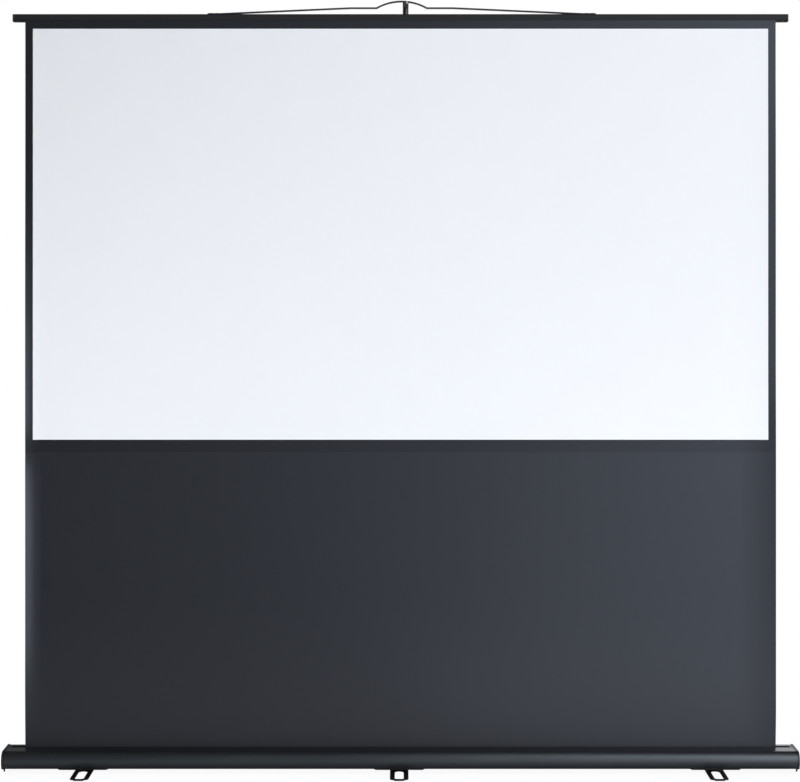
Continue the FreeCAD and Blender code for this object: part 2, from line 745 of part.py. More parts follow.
def foot_hole(x, end):
    """The hole of one end of a foot: round towards the hub, with small corners towards the tip."""
    left, right = "%s - foot_hole_radius" % x, "%s + foot_hole_radius" % x
    corner = "foot_hole_corner"
    if end == "front":
        return [
            (x, "-foot_hole_back", "foot_hole_radius", OUT), (left, "-(%s)" % foot_middle),
            (left, "-(foot_hole_front - %s)" % corner, corner, OUT),
            (left + " + " + corner, "-foot_hole_front"),
            (right + " - " + corner, "-foot_hole_front", corner, OUT),
            (right, "-(foot_hole_front - %s)" % corner),
            (right, "-(%s)" % foot_middle, "foot_hole_radius", OUT),
        ]
    return [
        (x, "foot_hole_back", "foot_hole_radius", OUT), (right, foot_middle),
        (right, "foot_hole_front - " + corner, corner, OUT), (right + " - " + corner, "foot_hole_front"),
        (left + " + " + corner, "foot_hole_front", corner, OUT),
        (left, "foot_hole_front - " + corner),
        (left, foot_middle, "foot_hole_radius", OUT),
    ]


def foot_outline(x):
    """The outside of a foot, with round corners and both ends a little bowed."""
    left, right = "%s - foot_width / 2" % x, "%s + foot_width / 2" % x
    near = "foot_half - foot_bow"
    bow = "((foot_width / 2 - foot_corner)^2 + foot_bow^2) / (2 * foot_bow)"
    side = near + " - foot_corner"
    return [
        (left + " + foot_corner", "-(%s)" % near, bow, OUT), (x, "-foot_half", bow, OUT),
        (right + " - foot_corner", "-(%s)" % near, "foot_corner", OUT), (right, "-(%s)" % side),
        (right, side, "foot_corner", OUT), (right + " - foot_corner", near, bow, OUT),
        (x, "foot_half", bow, OUT), (left + " + foot_corner", near, "foot_corner", OUT),
        (left, side), (left, "-(%s)" % side, "foot_corner", OUT),
    ]


pivots = []
plate_screws = []
for side, x in foot_places.items():
    loop = extrusion("foot_loop_" + side, "XY", "foot_low", "foot_high - foot_low",
                     foot_outline(x), foot_hole(x, "front"), foot_hole(x, "rear"))
    hub = rod("foot_hub_" + side, "Z", (x, MIDDLE, "foot_high"), "hub_radius",
              "plate_low - hub_gap - foot_high")
    hub_bore = rod("foot_bore_" + side, "Z", (x, MIDDLE, "foot_low"), "pivot_radius + play",
                   "plate_low - foot_low")
    head_recess = rod("foot_recess_" + side, "Z", (x, MIDDLE, "foot_low"), "pivot_head + hub_gap",
                      "pivot_head_height + hub_gap")
    node(cut("foot_bored_" + side, fuse("foot_whole_" + side, loop, hub), hub_bore, head_recess),
         "foot_" + side)

    pads = [
        box("pad_%s_front" % side, ("%s - pad_width / 2" % x, "%s + pad_width / 2" % x),
            ("-(foot_half - pad_inset)", "-(foot_half - pad_inset - pad_depth)"), (FLOOR, "foot_low")),
        box("pad_%s_rear" % side, ("%s - pad_width / 2" % x, "%s + pad_width / 2" % x),
            ("foot_half - pad_inset - pad_depth", "foot_half - pad_inset"), (FLOOR, "foot_low")),
    ]
    node(group("pads_" + side, *pads), "foot_pads_" + side)

    plate_blank = extrusion("plate_blank_" + side, "XY", "plate_low", "case_bottom - plate_low", rounded(
        "%s - plate_width / 2" % x, "-plate_depth / 2", "%s + plate_width / 2" % x, "plate_depth / 2",
        "plate_corner"))
    plate_bore = rod("plate_bore_" + side, "Z", (x, MIDDLE, "plate_low"), "pivot_radius + play",
                     "case_bottom - plate_low")
    plate_screw_bores = plate_rods("plate_screw_bore", side, "plate_screw_radius + play", "plate_low",
                                   "case_bottom - plate_low")
    node(cut("plate_" + side, plate_blank, plate_bore, *plate_screw_bores), "foot_plate_" + side)

    pin_shank = rod("pivot_shank_" + side, "Z", (x, MIDDLE, "foot_low + pivot_head_height"), "pivot_radius",
                    "case_bottom - foot_low - pivot_head_height")
    pin_head = rod("pivot_head_" + side, "Z", (x, MIDDLE, "foot_low"), "pivot_head", "pivot_head_height")
    pivots.append(fuse("pivot_" + side, pin_shank, pin_head))

    plate_shanks = plate_rods("plate_shank", side, "plate_screw_radius", "plate_low",
                              "case_bottom - plate_low + case_wall")
    plate_heads = plate_rods("plate_head", side, "plate_screw_head", "plate_low - plate_head_height",
                             "plate_head_height")
    plate_screws += [fuse("plate_screw_%s_%d" % (side, index), *pair)
                     for index, pair in enumerate(zip(plate_shanks, plate_heads))]
node(group("pivots", *pivots), "foot_pivot_pins")
node(group("screws_of_plates", *plate_screws), "foot_plate_screws")


# Build, test and write the sub-parts

doc.recompute()
failed = [item.Name for item in doc.Objects if "Invalid" in item.State or "Error" in item.State]
failed += [item.Label for item in nodes if item.Shape.isNull() or not item.Shape.isValid()]
if failed:
    raise RuntimeError("not built: " + ", ".join(failed))

os.makedirs("parts", exist_ok=True)
for item in nodes:
    item.Shape.exportStep("parts/%s.step" % item.Label)
print("%d sub-parts written" % len(nodes))
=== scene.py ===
import json
import math

import bmesh
import bpy
from mathutils import Matrix, Vector

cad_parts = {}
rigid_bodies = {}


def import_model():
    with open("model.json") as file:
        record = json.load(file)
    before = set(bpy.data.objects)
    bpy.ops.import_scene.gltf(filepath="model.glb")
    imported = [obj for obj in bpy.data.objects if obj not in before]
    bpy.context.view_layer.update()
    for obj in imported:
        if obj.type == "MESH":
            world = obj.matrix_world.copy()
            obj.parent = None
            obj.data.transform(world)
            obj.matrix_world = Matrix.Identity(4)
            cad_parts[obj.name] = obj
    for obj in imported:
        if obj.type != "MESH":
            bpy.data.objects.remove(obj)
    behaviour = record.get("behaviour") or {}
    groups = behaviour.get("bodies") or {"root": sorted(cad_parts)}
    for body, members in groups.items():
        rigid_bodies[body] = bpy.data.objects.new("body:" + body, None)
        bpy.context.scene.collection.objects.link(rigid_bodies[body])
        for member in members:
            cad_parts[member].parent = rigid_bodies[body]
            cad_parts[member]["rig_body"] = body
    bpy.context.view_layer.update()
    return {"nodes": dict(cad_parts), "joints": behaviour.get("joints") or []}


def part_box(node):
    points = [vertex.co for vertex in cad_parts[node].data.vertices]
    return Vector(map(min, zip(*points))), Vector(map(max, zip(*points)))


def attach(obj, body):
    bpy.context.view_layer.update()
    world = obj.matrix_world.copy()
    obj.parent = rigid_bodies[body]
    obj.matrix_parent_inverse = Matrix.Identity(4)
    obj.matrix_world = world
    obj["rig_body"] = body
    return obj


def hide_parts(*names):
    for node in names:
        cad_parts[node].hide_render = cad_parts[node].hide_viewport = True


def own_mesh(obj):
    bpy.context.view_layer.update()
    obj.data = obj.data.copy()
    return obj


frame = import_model()


# Base case
# A hollow aluminium extrusion with a satin black coating, rounded in front and open along its top for the
# sheet. It is sawn to length, and the end caps, the foot plates and the pole's socket are screwed to it.
case_low, case_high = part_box("case_extrusion")
CASE_WALL = 0.002
CASE_CORNER = 0.003
CASE_EASE = 0.0007
FRONT_RADIUS = 0.030
FRONT_CENTRE = Vector((-0.010, 0.031))
BROW_RADIUS = 0.018
CHIN_RADIUS = 0.004
SLOT_FRONT = 0.011
SLOT_REAR = 0.025
TOUCHING = 1e-6
ARC_STEP = 5
FEWEST_STEPS = 2
SMOOTH_BELOW = math.radians(38)
ALONG_X = Matrix(((0, 0, 1, 0), (1, 0, 0, 0), (0, 1, 0, 0), (0, 0, 0, 1)))


def closed_line(bm, start, *steps):
    """A closed line in the XY plane. A step is a point to draw to, or a centre and degrees to swing by."""
    first = last = bm.verts.new((*start, 0))
    for step in steps:
        if len(step) == 2:
            last = bmesh.ops.extrude_vert_indiv(bm, verts=[last])["verts"][0]
            last.co = (*step, 0)
        else:
            *centre, degrees = step
            count = max(FEWEST_STEPS, math.ceil(abs(degrees) / ARC_STEP))
            arc = bmesh.ops.spin(bm, geom=[last], cent=(*centre, 0), axis=(0, 0, 1),
                                 angle=math.radians(degrees), steps=count)
            last = arc["geom_last"][0]
    if (last.co - first.co).length < TOUCHING:
        bmesh.ops.pointmerge(bm, verts=[first, last], merge_co=first.co)
    else:
        bm.edges.new((last, first))


def slab(thickness, *lines):
    """A flat outline, with its holes as further lines, drawn out along Z."""
    bm = bmesh.new()
    for line in lines:
        closed_line(bm, *line)
    if len(lines) == 1:
        bmesh.ops.edgeloop_fill(bm, edges=bm.edges[:])
    else:
        bmesh.ops.triangle_fill(bm, use_beauty=True, use_dissolve=True, edges=bm.edges[:])
    drawn = bmesh.ops.extrude_face_region(bm, geom=bm.faces[:])
    top = [item for item in drawn["geom"] if isinstance(item, bmesh.types.BMVert)]
    bmesh.ops.translate(bm, verts=top, vec=(0, 0, thickness))
    bmesh.ops.recalc_face_normals(bm, faces=bm.faces[:])
    return bm


def eased(bm, width, segments=3, sharper=30):
    """The same solid with every sharp edge rounded."""
    sharp = [edge for edge in bm.edges if edge.calc_face_angle(0) > math.radians(sharper)]
    bmesh.ops.bevel(bm, geom=sharp, offset=width, offset_type="OFFSET", segments=segments, profile=0.5,
                    affect="EDGES", material=-1, clamp_overlap=True)
    return bm


def lengthwise(start):
    """The place of a slab that is drawn out to the right from a start."""
    return Matrix.Translation((start, 0, 0)) @ ALONG_X


def assembled(*parts):
    """Several solids, each with its place, as one."""
    whole = bmesh.new()
    for bm, place in parts:
        bm.transform(place)
        mesh = bpy.data.meshes.new("part")
        bm.to_mesh(mesh)
        bm.free()
        whole.from_mesh(mesh)
        bpy.data.meshes.remove(mesh)
    return whole


def piece(name, bm, finish, *nodes):
    """A finished piece in place of CAD solids, on their body and with the given finish."""
    mesh = bpy.data.meshes.new(name)
    bm.to_mesh(mesh)
    bm.free()
    mesh.shade_smooth()
    mesh.set_sharp_from_angle(angle=SMOOTH_BELOW)
    mesh.materials.append(finish.material)
    made = bpy.data.objects.new(name, mesh)
    bpy.context.scene.collection.objects.link(made)
    even = made.modifiers.new("even_normals", "WEIGHTED_NORMAL")
    even.keep_sharp = True
    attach(made, frame["nodes"][nodes[0]]["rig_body"])
    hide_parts(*nodes)
    return made


class Wire:
    """An output of a node. Sums and products of wires add Math nodes."""

    def __init__(self, nodes, socket):
        self.nodes = nodes
        self.socket = socket

    def math(self, operation, *values):
        return self.nodes.node("Math", {"operation": operation}, dict(enumerate(values)))

    def __add__(self, other):
        return self.math("ADD", self, other)

    def __mul__(self, other):
        return self.math("MULTIPLY", self, other)

    __radd__ = __add__
    __rmul__ = __mul__


class Nodes:
    """The shader nodes of a material or of the world."""

    def __init__(self, owner):
        owner.use_nodes = True
        self.tree = owner.node_tree

    def node(self, kind, settings=None, inputs=None, output=0):
        made = self.tree.nodes.new("ShaderNode" + kind)
        for name, value in (settings or {}).items():
            setattr(made, name, value)
        for name, value in (inputs or {}).items():
            self.join(made.inputs[name], value)
        return Wire(self, made.outputs[output])

    def join(self, socket, value):
        if isinstance(value, Wire):
            self.tree.links.new(value.socket, socket)
        else:
            socket.default_value = value


DRAWN_OUT = 0.01


def scaled(colour, factor):
    return tuple(channel * factor for channel in colour)


class Finish(Nodes):
    """A material: a Principled shader, fed from the piece's own coordinates."""

    def __init__(self, name, **constants):
        self.material = bpy.data.materials.new(name)
        super().__init__(self.material)
        self.shader = self.tree.nodes["Principled BSDF"]
        self.at = self.node("TexCoord", output="Object")
        for socket, value in constants.items():
            self.feed(socket.replace("_", " "), value)

    def feed(self, socket, value):
        self.join(self.shader.inputs[socket], value)

    def noise(self, scale, detail=2.0, at=None):
        return self.node("TexNoise", {}, {"Vector": at or self.at, "Scale": scale, "Detail": detail})

    def drawn(self, along):
        """The piece's coordinates, drawn out along one axis for lines that run that way."""
        stretch = tuple(DRAWN_OUT if axis == along else 1.0 for axis in "xyz")
        return self.node("Mapping", {}, {"Vector": self.at, "Scale": stretch})

    def between(self, share, first, second):
        """A colour between two colours."""
        return self.node("Mix", {"data_type": "RGBA"}, {0: share, 6: (*first, 1), 7: (*second, 1)}, output=2)

    def shade(self, pattern, colour, tones):
        """A base colour that a pattern takes from a darker to a lighter tone."""
        dark, light = (scaled(colour, tone) for tone in tones)
        self.feed("Base Color", self.between(pattern, dark, light))

    def roughen(self, middle, *patterns):
        """A roughness round a middle value. Each pattern comes with how far it spreads it."""
        rough = middle - sum(spread for spread, pattern in patterns) / 2
        for spread, pattern in patterns:
            rough = rough + spread * pattern
        self.feed("Roughness", rough)

    def bump(self, height, depth, strength):
        inputs = {"Height": height, "Distance": depth, "Strength": strength}
        self.feed("Normal", self.node("Bump", {}, inputs))


CLOUD_TONES = (0.85, 1.15)
CLOUD_SPREAD = 0.10
LINE_SPREAD = 0.08
LINE_HEIGHT = 0.5


def coated_metal(name, colour, roughness, along, specular=0.5, tint=(1, 1, 1), grain=1500):
    """Satin coating on metal: slightly cloudy, with a fine grain and faint lines from the drawing."""
    finish = Finish(name, Specular_IOR_Level=specular, Specular_Tint=(*tint, 1))
    cloud = finish.noise(scale=7, detail=3)
    lines = finish.noise(scale=900, detail=3, at=finish.drawn(along))
    finish.shade(cloud, colour, CLOUD_TONES)
    finish.roughen(roughness, (CLOUD_SPREAD, cloud), (LINE_SPREAD, lines))
    finish.bump(finish.noise(grain) + LINE_HEIGHT * lines, depth=0.0002, strength=0.12)
    return finish


def tighter_curve(level, radius):
    """The centre of a curve that leads from the rounded front to a level, and the degrees where it begins."""
    gap = FRONT_RADIUS - radius
    up = level - FRONT_CENTRE.y
    up -= math.copysign(radius, up)
    centre = Vector((FRONT_CENTRE.x - math.sqrt(gap ** 2 - up ** 2), FRONT_CENTRE.y + up))
    begins = abs(math.degrees(math.asin(up / gap)))
    return centre, begins


brow, brow_begins = tighter_curve(case_high.z, BROW_RADIUS)
chin, chin_begins = tighter_curve(case_low.z, CHIN_RADIUS)


def front_swings(way):
    """The three curves of the front, from the top down or, the other way, from the bottom up."""
    swings = [
        (*brow, 90 - brow_begins),
        (*FRONT_CENTRE, brow_begins + chin_begins),
        (*chin, 90 - chin_begins),
    ]
    return [(y, z, way * degrees) for y, z, degrees in swings[::way]]


def case_line(grow):
    """The outside of the case, or of a cap that stands proud of it."""
    low, high, rear = case_low.z - grow, case_high.z + grow, case_high.y + grow
    corner = rear - CASE_CORNER
    return [
        (brow.x, high), *front_swings(1),
        (corner, low), (corner, low + CASE_CORNER, 90),
        (rear, high - CASE_CORNER), (corner, high - CASE_CORNER, 90),
    ]


inner_low, inner_high = case_low.z + CASE_WALL, case_high.z - CASE_WALL
inner_rear = case_high.y - CASE_WALL
case_section = case_line(0) + [
    (SLOT_REAR, case_high.z), (SLOT_REAR, inner_high), (inner_rear, inner_high), (inner_rear, inner_low),
    (chin.x, inner_low), *front_swings(-1), (SLOT_FRONT, inner_high), (SLOT_FRONT, case_high.z),
]
CASE_COLOUR = (0.0110, 0.0113, 0.0125)
CASE_SHEEN = (0.78, 0.90, 1.0)
COATING_IOR = 1.55
case_finish = coated_metal("case_black", CASE_COLOUR, 0.39, "x", specular=1.0, tint=CASE_SHEEN)
case_finish.feed("IOR", COATING_IOR)
case_solid = eased(slab(case_high.x - case_low.x, case_section), CASE_EASE, sharper=25)
case_solid.transform(lengthwise(case_low.x))
piece("base_case", case_solid, case_finish, "case_extrusion")


# End caps of the case
# Moulded black plastic, with a nib below that stands on the floor and a tongue that closes the end of the
# slot. Each is held by two screws, which go on through the bracket of the roller inside.
CAP_RIM = 0.001
CAP_EASE = 0.0009
NIB_Y = -0.0094
NIB_TOP = 0.005
NIB_TIP = 0.002
NIB_THICKNESS = 0.003
NIB_OVERLAP = 0.001
NIB_EASE = 0.0006
TONGUE_LENGTH = 0.008
TONGUE_EASE = 0.0005
ROLLER_AXIS = Vector((0.0074, 0.033))
CAP_SCREW_PLACES = (-0.024, 0.031)
CAP_SCREW = {"head": 0.0034, "head_height": 0.0020, "shank": 0.00175, "length": 0.0118}
SCREW_RECESS = 0.0036
SCREW_SUNK = 0.0022
CROSS_REACH = 0.6
CROSS_HALF = 0.14
CROSS_FLOOR = 0.35
HEAD_EASE = 0.08
PLASTIC_COLOUR = (0.016, 0.0165, 0.018)
SCREW_COLOUR = (0.020, 0.020, 0.022)
PATCH_TONES = (0.85, 1.15)
PATCH_SPREAD = 0.12


def moulded(name, colour, roughness):
    """Moulded plastic with a fine spark-eroded grain, a little glossier where hands polish it."""
    finish = Finish(name, Specular_IOR_Level=0.5)
    patches = finish.noise(scale=18, detail=3)
    finish.shade(patches, colour, PATCH_TONES)
    finish.roughen(roughness, (PATCH_SPREAD, patches))
    finish.bump(finish.noise(scale=2200), depth=0.00015, strength=0.25)
    return finish


def circle(u, v, radius):
    return [(u + radius, v), (u, v, 360)]


def turned(*profile, hollow=False, sides=48):
    """A line of (radius, height) points spun round the Z axis. A hollow one closes on its own start."""
    bm = bmesh.new()
    line = [bm.verts.new((radius, 0, height)) for radius, height in profile]
    for pair in zip(line, line[1:]):
        bm.edges.new(pair)
    if hollow:
        bm.edges.new((line[-1], line[0]))
    bmesh.ops.spin(bm, geom=bm.verts[:] + bm.edges[:], cent=(0, 0, 0), axis=(0, 0, 1), angle=math.tau,
                   steps=sides, use_merge=True)
    bmesh.ops.remove_doubles(bm, verts=bm.verts[:], dist=TOUCHING)
    bmesh.ops.recalc_face_normals(bm, faces=bm.faces[:])
    return bm


def facing(direction, at):
    """The place of a solid whose own Z axis is to point in a direction."""
    return Matrix.Translation(at) @ Vector(direction).to_track_quat("Z", "Y").to_matrix().to_4x4()


def cross_screw(direction, seat, head, head_height, shank, length):
    """The parts of a screw with a cross in its head, from the seat of the head."""
    arm, half, floor = head * CROSS_REACH, head * CROSS_HALF, head_height * CROSS_FLOOR
    cross = [
        (arm, -half), (arm, half), (half, half), (half, arm), (-half, arm), (-half, half),
        (-arm, half), (-arm, -half), (-half, -half), (-half, -arm), (half, -arm), (half, -half),
    ]
    top = eased(slab(head_height - floor, circle(0, 0, head), cross), head * HEAD_EASE, 2)
    body = turned((0, -length), (shank, -length), (shank, 0), (head, 0), (head, floor), (0, floor), sides=24)
    place = facing(direction, seat)
    return [(top, place @ Matrix.Translation((0, 0, floor))), (body, place)]


plastic_finish = moulded("plastic_black", PLASTIC_COLOUR, 0.42)
screw_finish = coated_metal("screw_black", SCREW_COLOUR, 0.38, "z", grain=3000)
cap_screws = []
for side, outward in (("left", -1), ("right", 1)):
    cap_low, cap_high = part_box("case_end_cap_" + side)
    outer_x = cap_low.x if outward < 0 else cap_high.x
    inner_x = case_low.x if outward < 0 else case_high.x
    holes = [circle(y, ROLLER_AXIS.y, SCREW_RECESS) for y in CAP_SCREW_PLACES]
    cap = eased(slab(abs(outer_x - inner_x), case_line(CAP_RIM), *holes), CAP_EASE)
    nib_root = case_low.z + NIB_OVERLAP
    nib = eased(slab(NIB_THICKNESS, [
        (NIB_Y - NIB_TIP, 0), (NIB_Y + NIB_TIP, 0),
        (NIB_Y + NIB_TOP, nib_root), (NIB_Y - NIB_TOP, nib_root)]), NIB_EASE)
    tongue = eased(slab(TONGUE_LENGTH, [
        (SLOT_FRONT, inner_high), (SLOT_REAR, inner_high),
        (SLOT_REAR, case_high.z), (SLOT_FRONT, case_high.z)]), TONGUE_EASE)
    cap_parts = [
        (cap, lengthwise(min(outer_x, inner_x))),
        (nib, lengthwise(min(outer_x, outer_x - outward * NIB_THICKNESS))),
        (tongue, lengthwise(min(inner_x, inner_x - outward * TONGUE_LENGTH))),
    ]
    piece("case_cap_" + side, assembled(*cap_parts), plastic_finish, "case_end_cap_" + side)
    for y in CAP_SCREW_PLACES:
        seat = (outer_x - outward * SCREW_SUNK, y, ROLLER_AXIS.y)
        cap_screws += cross_screw((outward, 0, 0), seat, **CAP_SCREW)
piece("case_cap_screws", assembled(*cap_screws), screw_finish, "end_cap_screws")


# Roller and its spring, inside the case
# A steel tube that the sheet winds on. It turns on a fixed shaft at its left end, where a torsion spring
# pulls the sheet down, and on a nylon stub at its right end. Two zinc-plated brackets carry it.
STEEL_COLOUR = (0.55, 0.56, 0.57)
SPRING_COLOUR = (0.32, 0.32, 0.33)
NYLON_COLOUR = (0.72, 0.71, 0.66)
PLATED_TONES = (0.85, 1.0)


def plated(name, colour, roughness, along):
    """Plated metal with faint drawing lines and a slightly uneven polish."""
    finish = Finish(name, Metallic=1.0)
    lines = finish.noise(scale=1200, detail=3, at=finish.drawn(along))
    cloud = finish.noise(scale=25, detail=3)
    finish.shade(cloud, colour, PLATED_TONES)
    finish.roughen(roughness, (CLOUD_SPREAD, cloud), (LINE_SPREAD, lines))
    finish.bump(lines, depth=0.0001, strength=0.1)
    return finish


def dress(finish, *nodes):
    """Gives CAD solids that are shown as they are a finish."""
    for node in nodes:
        mesh = frame["nodes"][node].data
        mesh.materials.clear()
        mesh.materials.append(finish.material)


steel_finish = plated("steel", STEEL_COLOUR, 0.37, "x")
spring_finish = plated("spring_steel", SPRING_COLOUR, 0.33, "y")
nylon_finish = moulded("nylon", NYLON_COLOUR, 0.45)
dress(steel_finish, "roller_tube", "spring_shaft", "roller_bracket_left", "roller_bracket_right")
dress(spring_finish, "torsion_spring")
dress(nylon_finish, "spring_plug", "spring_anchor", "idle_plug")


# Foot plates
# Powder-coated steel plates under the case, each held by four pan-head screws. They carry the pins that the
# feet turn on.
PLATE_CORNER = 0.008
PLATE_EASE = 0.0007
PLATE_SCREW_X = 0.048
PLATE_SCREW_Y = 0.022
PLATE_SCREW = {"head": 0.0036, "head_height": 0.0014, "shank": 0.0019, "length": 0.0045}
FOOT_COLOUR = (0.0085, 0.0085, 0.009)
SIDES = ("left", "centre", "right")


def round_rectangle(low_u, low_v, high_u, high_v, radius):
    left, right, low, high = low_u + radius, high_u - radius, low_v + radius, high_v - radius
    return [
        (left, low_v), (right, low_v), (right, low, 90), (high_u, high), (right, high, 90),
        (left, high_v), (left, high, 90), (low_u, low), (left, low, 90),
    ]


foot_finish = coated_metal("foot_black", FOOT_COLOUR, 0.40, "y", grain=700)
plate_screws = []
for side in SIDES:
    low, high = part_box("foot_plate_" + side)
    plate_line = round_rectangle(low.x, low.y, high.x, high.y, PLATE_CORNER)
    plate = eased(slab(high.z - low.z, plate_line), PLATE_EASE)
    plate.transform(Matrix.Translation((0, 0, low.z)))
    piece("plate_of_foot_" + side, plate, foot_finish, "foot_plate_" + side)
    middle = (low.x + high.x) / 2
    for x in (middle - PLATE_SCREW_X, middle + PLATE_SCREW_X):
        for y in (-PLATE_SCREW_Y, PLATE_SCREW_Y):
            plate_screws += cross_screw((0, 0, -1), (x, y, low.z), **PLATE_SCREW)
piece("plate_screws", assembled(*plate_screws), screw_finish, "foot_plate_screws")


# Feet
# Loops of powder-coated steel with sloping edges and a hub in their middle. Each turns on a riveted pin under
# its plate and stands on a rubber pad at both ends.
FOOT_BOW = 0.003
FOOT_CORNER = 0.010
FOOT_THICKNESS = 0.003
FOOT_RIM = 0.0014
FOOT_SLOPE = 0.0019
FOOT_EASE = 0.0002
FOOT_HOLE = 0.0105
FOOT_HOLE_BACK = 0.014
FOOT_HOLE_FRONT = 0.084
FOOT_HOLE_CORNER = 0.006
UPWARD = 0.5
HUB_RADIUS = 0.012
HUB_FOOT = 0.002
HUB_EDGE = 0.001
PAD_LENGTH = 0.008
PAD_CORNER = 0.002
PAD_EASE = 0.0003
PIN_RADIUS = 0.004
PIN_HEAD = 0.007
PIN_HEAD_HEIGHT = 0.0015
PIN_EDGE = 0.001
PIN_EDGE_HEIGHT = 0.0006
RUBBER_COLOUR = (0.014, 0.014, 0.014)


def foot_line(half_width, half_length):
    """A foot's outside: round corners, and both ends a little bowed."""
    side, near = half_width - FOOT_CORNER, half_length - FOOT_BOW
    bow = (side ** 2 + FOOT_BOW ** 2) / (2 * FOOT_BOW)
    turn = math.degrees(2 * math.asin(side / bow))
    straight = near - FOOT_CORNER
    return [
        (-side, -near), (0, bow - half_length, turn), (side, -straight, 90),
        (half_width, straight), (side, straight, 90), (0, half_length - bow, turn),
        (-side, straight, 90), (-half_width, -straight), (-side, -straight, 90),
    ]


def foot_hole(end):
    """A foot's hole: round towards the hub, and with small corners towards the tip."""
    round_y, tip = end * (FOOT_HOLE_BACK + FOOT_HOLE), end * FOOT_HOLE_FRONT
    corner_x, corner_y = FOOT_HOLE - FOOT_HOLE_CORNER, tip - end * FOOT_HOLE_CORNER
    return [
        (FOOT_HOLE, round_y), (0, round_y, -180 * end), (-FOOT_HOLE, corner_y),
        (-corner_x, corner_y, -90 * end), (corner_x, tip), (corner_x, corner_y, -90 * end),
    ]


rubber_finish = moulded("rubber", RUBBER_COLOUR, 0.8)
pins = []
for side in SIDES:
    node = "foot_" + side
    low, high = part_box(node)
    foot_place = Matrix.Translation(((low.x + high.x) / 2, 0, low.z))
    loop = slab(FOOT_RIM, foot_line((high.x - low.x) / 2, high.y), foot_hole(-1), foot_hole(1))
    upper_faces = [face for face in loop.faces if face.normal.z > UPWARD]
    bmesh.ops.inset_region(loop, faces=upper_faces, thickness=FOOT_SLOPE, depth=FOOT_THICKNESS - FOOT_RIM,
                           use_even_offset=True)
    eased(loop, FOOT_EASE, 2, sharper=20)
    hub_top = high.z - low.z
    hub = turned((0, HUB_FOOT), (HUB_RADIUS, HUB_FOOT), (HUB_RADIUS, hub_top - HUB_EDGE),
                 (HUB_RADIUS - HUB_EDGE, hub_top), (0, hub_top))
    piece("turning_" + node, assembled((loop, foot_place), (hub, foot_place)), foot_finish, node)
    pads = []
    pad_low, pad_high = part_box("foot_pads_" + side)
    for end in (-1, 1):
        far = end * pad_high.y
        near = far - end * PAD_LENGTH
        pad_line = round_rectangle(pad_low.x, min(far, near), pad_high.x, max(far, near), PAD_CORNER)
        pads.append((eased(slab(low.z, pad_line), PAD_EASE), Matrix.Identity(4)))
    piece("rubber_pads_" + side, assembled(*pads), rubber_finish, "foot_pads_" + side)
    pin_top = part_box("foot_plate_" + side)[1].z - low.z
    pin = turned((0, 0), (PIN_HEAD - PIN_EDGE, 0), (PIN_HEAD, PIN_EDGE_HEIGHT), (PIN_HEAD, PIN_HEAD_HEIGHT),
                 (PIN_RADIUS, PIN_HEAD_HEIGHT), (PIN_RADIUS, pin_top), (0, pin_top), sides=32)
    pins.append((pin, foot_place))
pin_finish = plated("pin_steel", STEEL_COLOUR, 0.35, "z")
piece("foot_pins", assembled(*pins), pin_finish, "foot_pivot_pins")


# Sheet
# One tensioned sheet of coated cloth: a matt white viewing surface with a black printed border, and below it,
# welded on along a seam, a black drop that goes down through the slot to the roller.
SHEET_THICKNESS = 0.00032
WHITE_PROUD = 0.00012
WHITE_THICKNESS = 0.00012
COLUMNS = 48
MASK_ROWS = 80
DROP_ROWS = 56
CURL_CREASES = (0.04, 0.08, 0.12, 0.17, 0.23, 0.3, 0.38, 0.5, 0.7, 1.0)
SEAM_CREASES = (0.2, 0.4, 0.6, 0.8, 1.0)
LEFT_CURL_WIDTH = 0.036
LEFT_CURL_DEPTH = 0.0068
LEFT_CURL = {"top": 1.55, "fade": 0.68, "more": 0.4, "more_top": 0.763, "more_fade": 0.2, "foot": 0.31}
RIGHT_CURL_WIDTH = 0.085
RIGHT_CURL_DEPTH = 0.0019
RIGHT_CURL = {"top": 1.72, "fade": 0.30, "more": 2.2, "more_top": 1.0, "more_fade": 0.3, "foot": 0.12}
CURL_POWER = 2.0
WHITE_EXTRA_CURL = 0.0013
SEAM_REACH = 0.035
SEAM_HOLDS = 0.6
SEAM_BEAD = 0.0004
SEAM_WIDTH = 0.004
WAVE = 0.00018
WAVE_ACROSS = 5.1
WAVE_START = 1.3
WAVE_UP = 3.7
RIPPLE = 0.5
RIPPLE_ACROSS = 11.0
RIPPLE_UP = 2.0
HELD_LOW = 0.06
HELD_HIGH = 0.42
ROLLER_LEVEL = ROLLER_AXIS.y
DROP_LEFT = 0.0001
WHITE_COLOUR = (0.845, 0.863, 0.893)
WHITE_TONES = (0.992, 1.008)
MASK_COLOUR = (0.0060, 0.0063, 0.0076)
MASK_TONES = (0.96, 1.04)
DROP_COLOUR = (0.0066, 0.0069, 0.0082)
# Painted reflection: the drop's colour at its foot, lighter as if the lit floor showed in it
FLOOR_REFLECTION_COLOUR = (0.0135, 0.0137, 0.0150)
FLOOR_REFLECTION_TOP = 0.45
NEUTRAL = (1, 1, 1)
COOL = (0.76, 0.835, 1.0)
MOTTLE_SPREAD = 0.04
ONE_BAND = 0.314
sheet_low, sheet_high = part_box("drop_sheet")
sheet_y = (sheet_low.y + sheet_high.y) / 2
sheet_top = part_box("masked_sheet")[1].z
white_low, white_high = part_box("white_viewing_surface")
bar_low, bar_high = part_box("top_bar_extrusion")
screen_lift = next(joint for joint in frame["joints"] if joint["name"] == "screen_lift")
sheet_length = sheet_top - ROLLER_LEVEL
sheet_left_over = (sheet_length - abs(screen_lift["range_m"][0])) / sheet_length


def rise(value):
    """A smooth step from 0 to 1."""
    value = min(1.0, max(0.0, value))
    return value * value * (3 - 2 * value)


def curl(z, top, fade, more, more_top, more_fade, foot):
    """How much an edge curls at a level: less towards the bar and the slot, and more on the lower sheet."""
    lower = 1 + more * rise((more_top - z) / more_fade)
    return rise((top - z) / fade) * lower * rise((z - ROLLER_LEVEL) / foot)


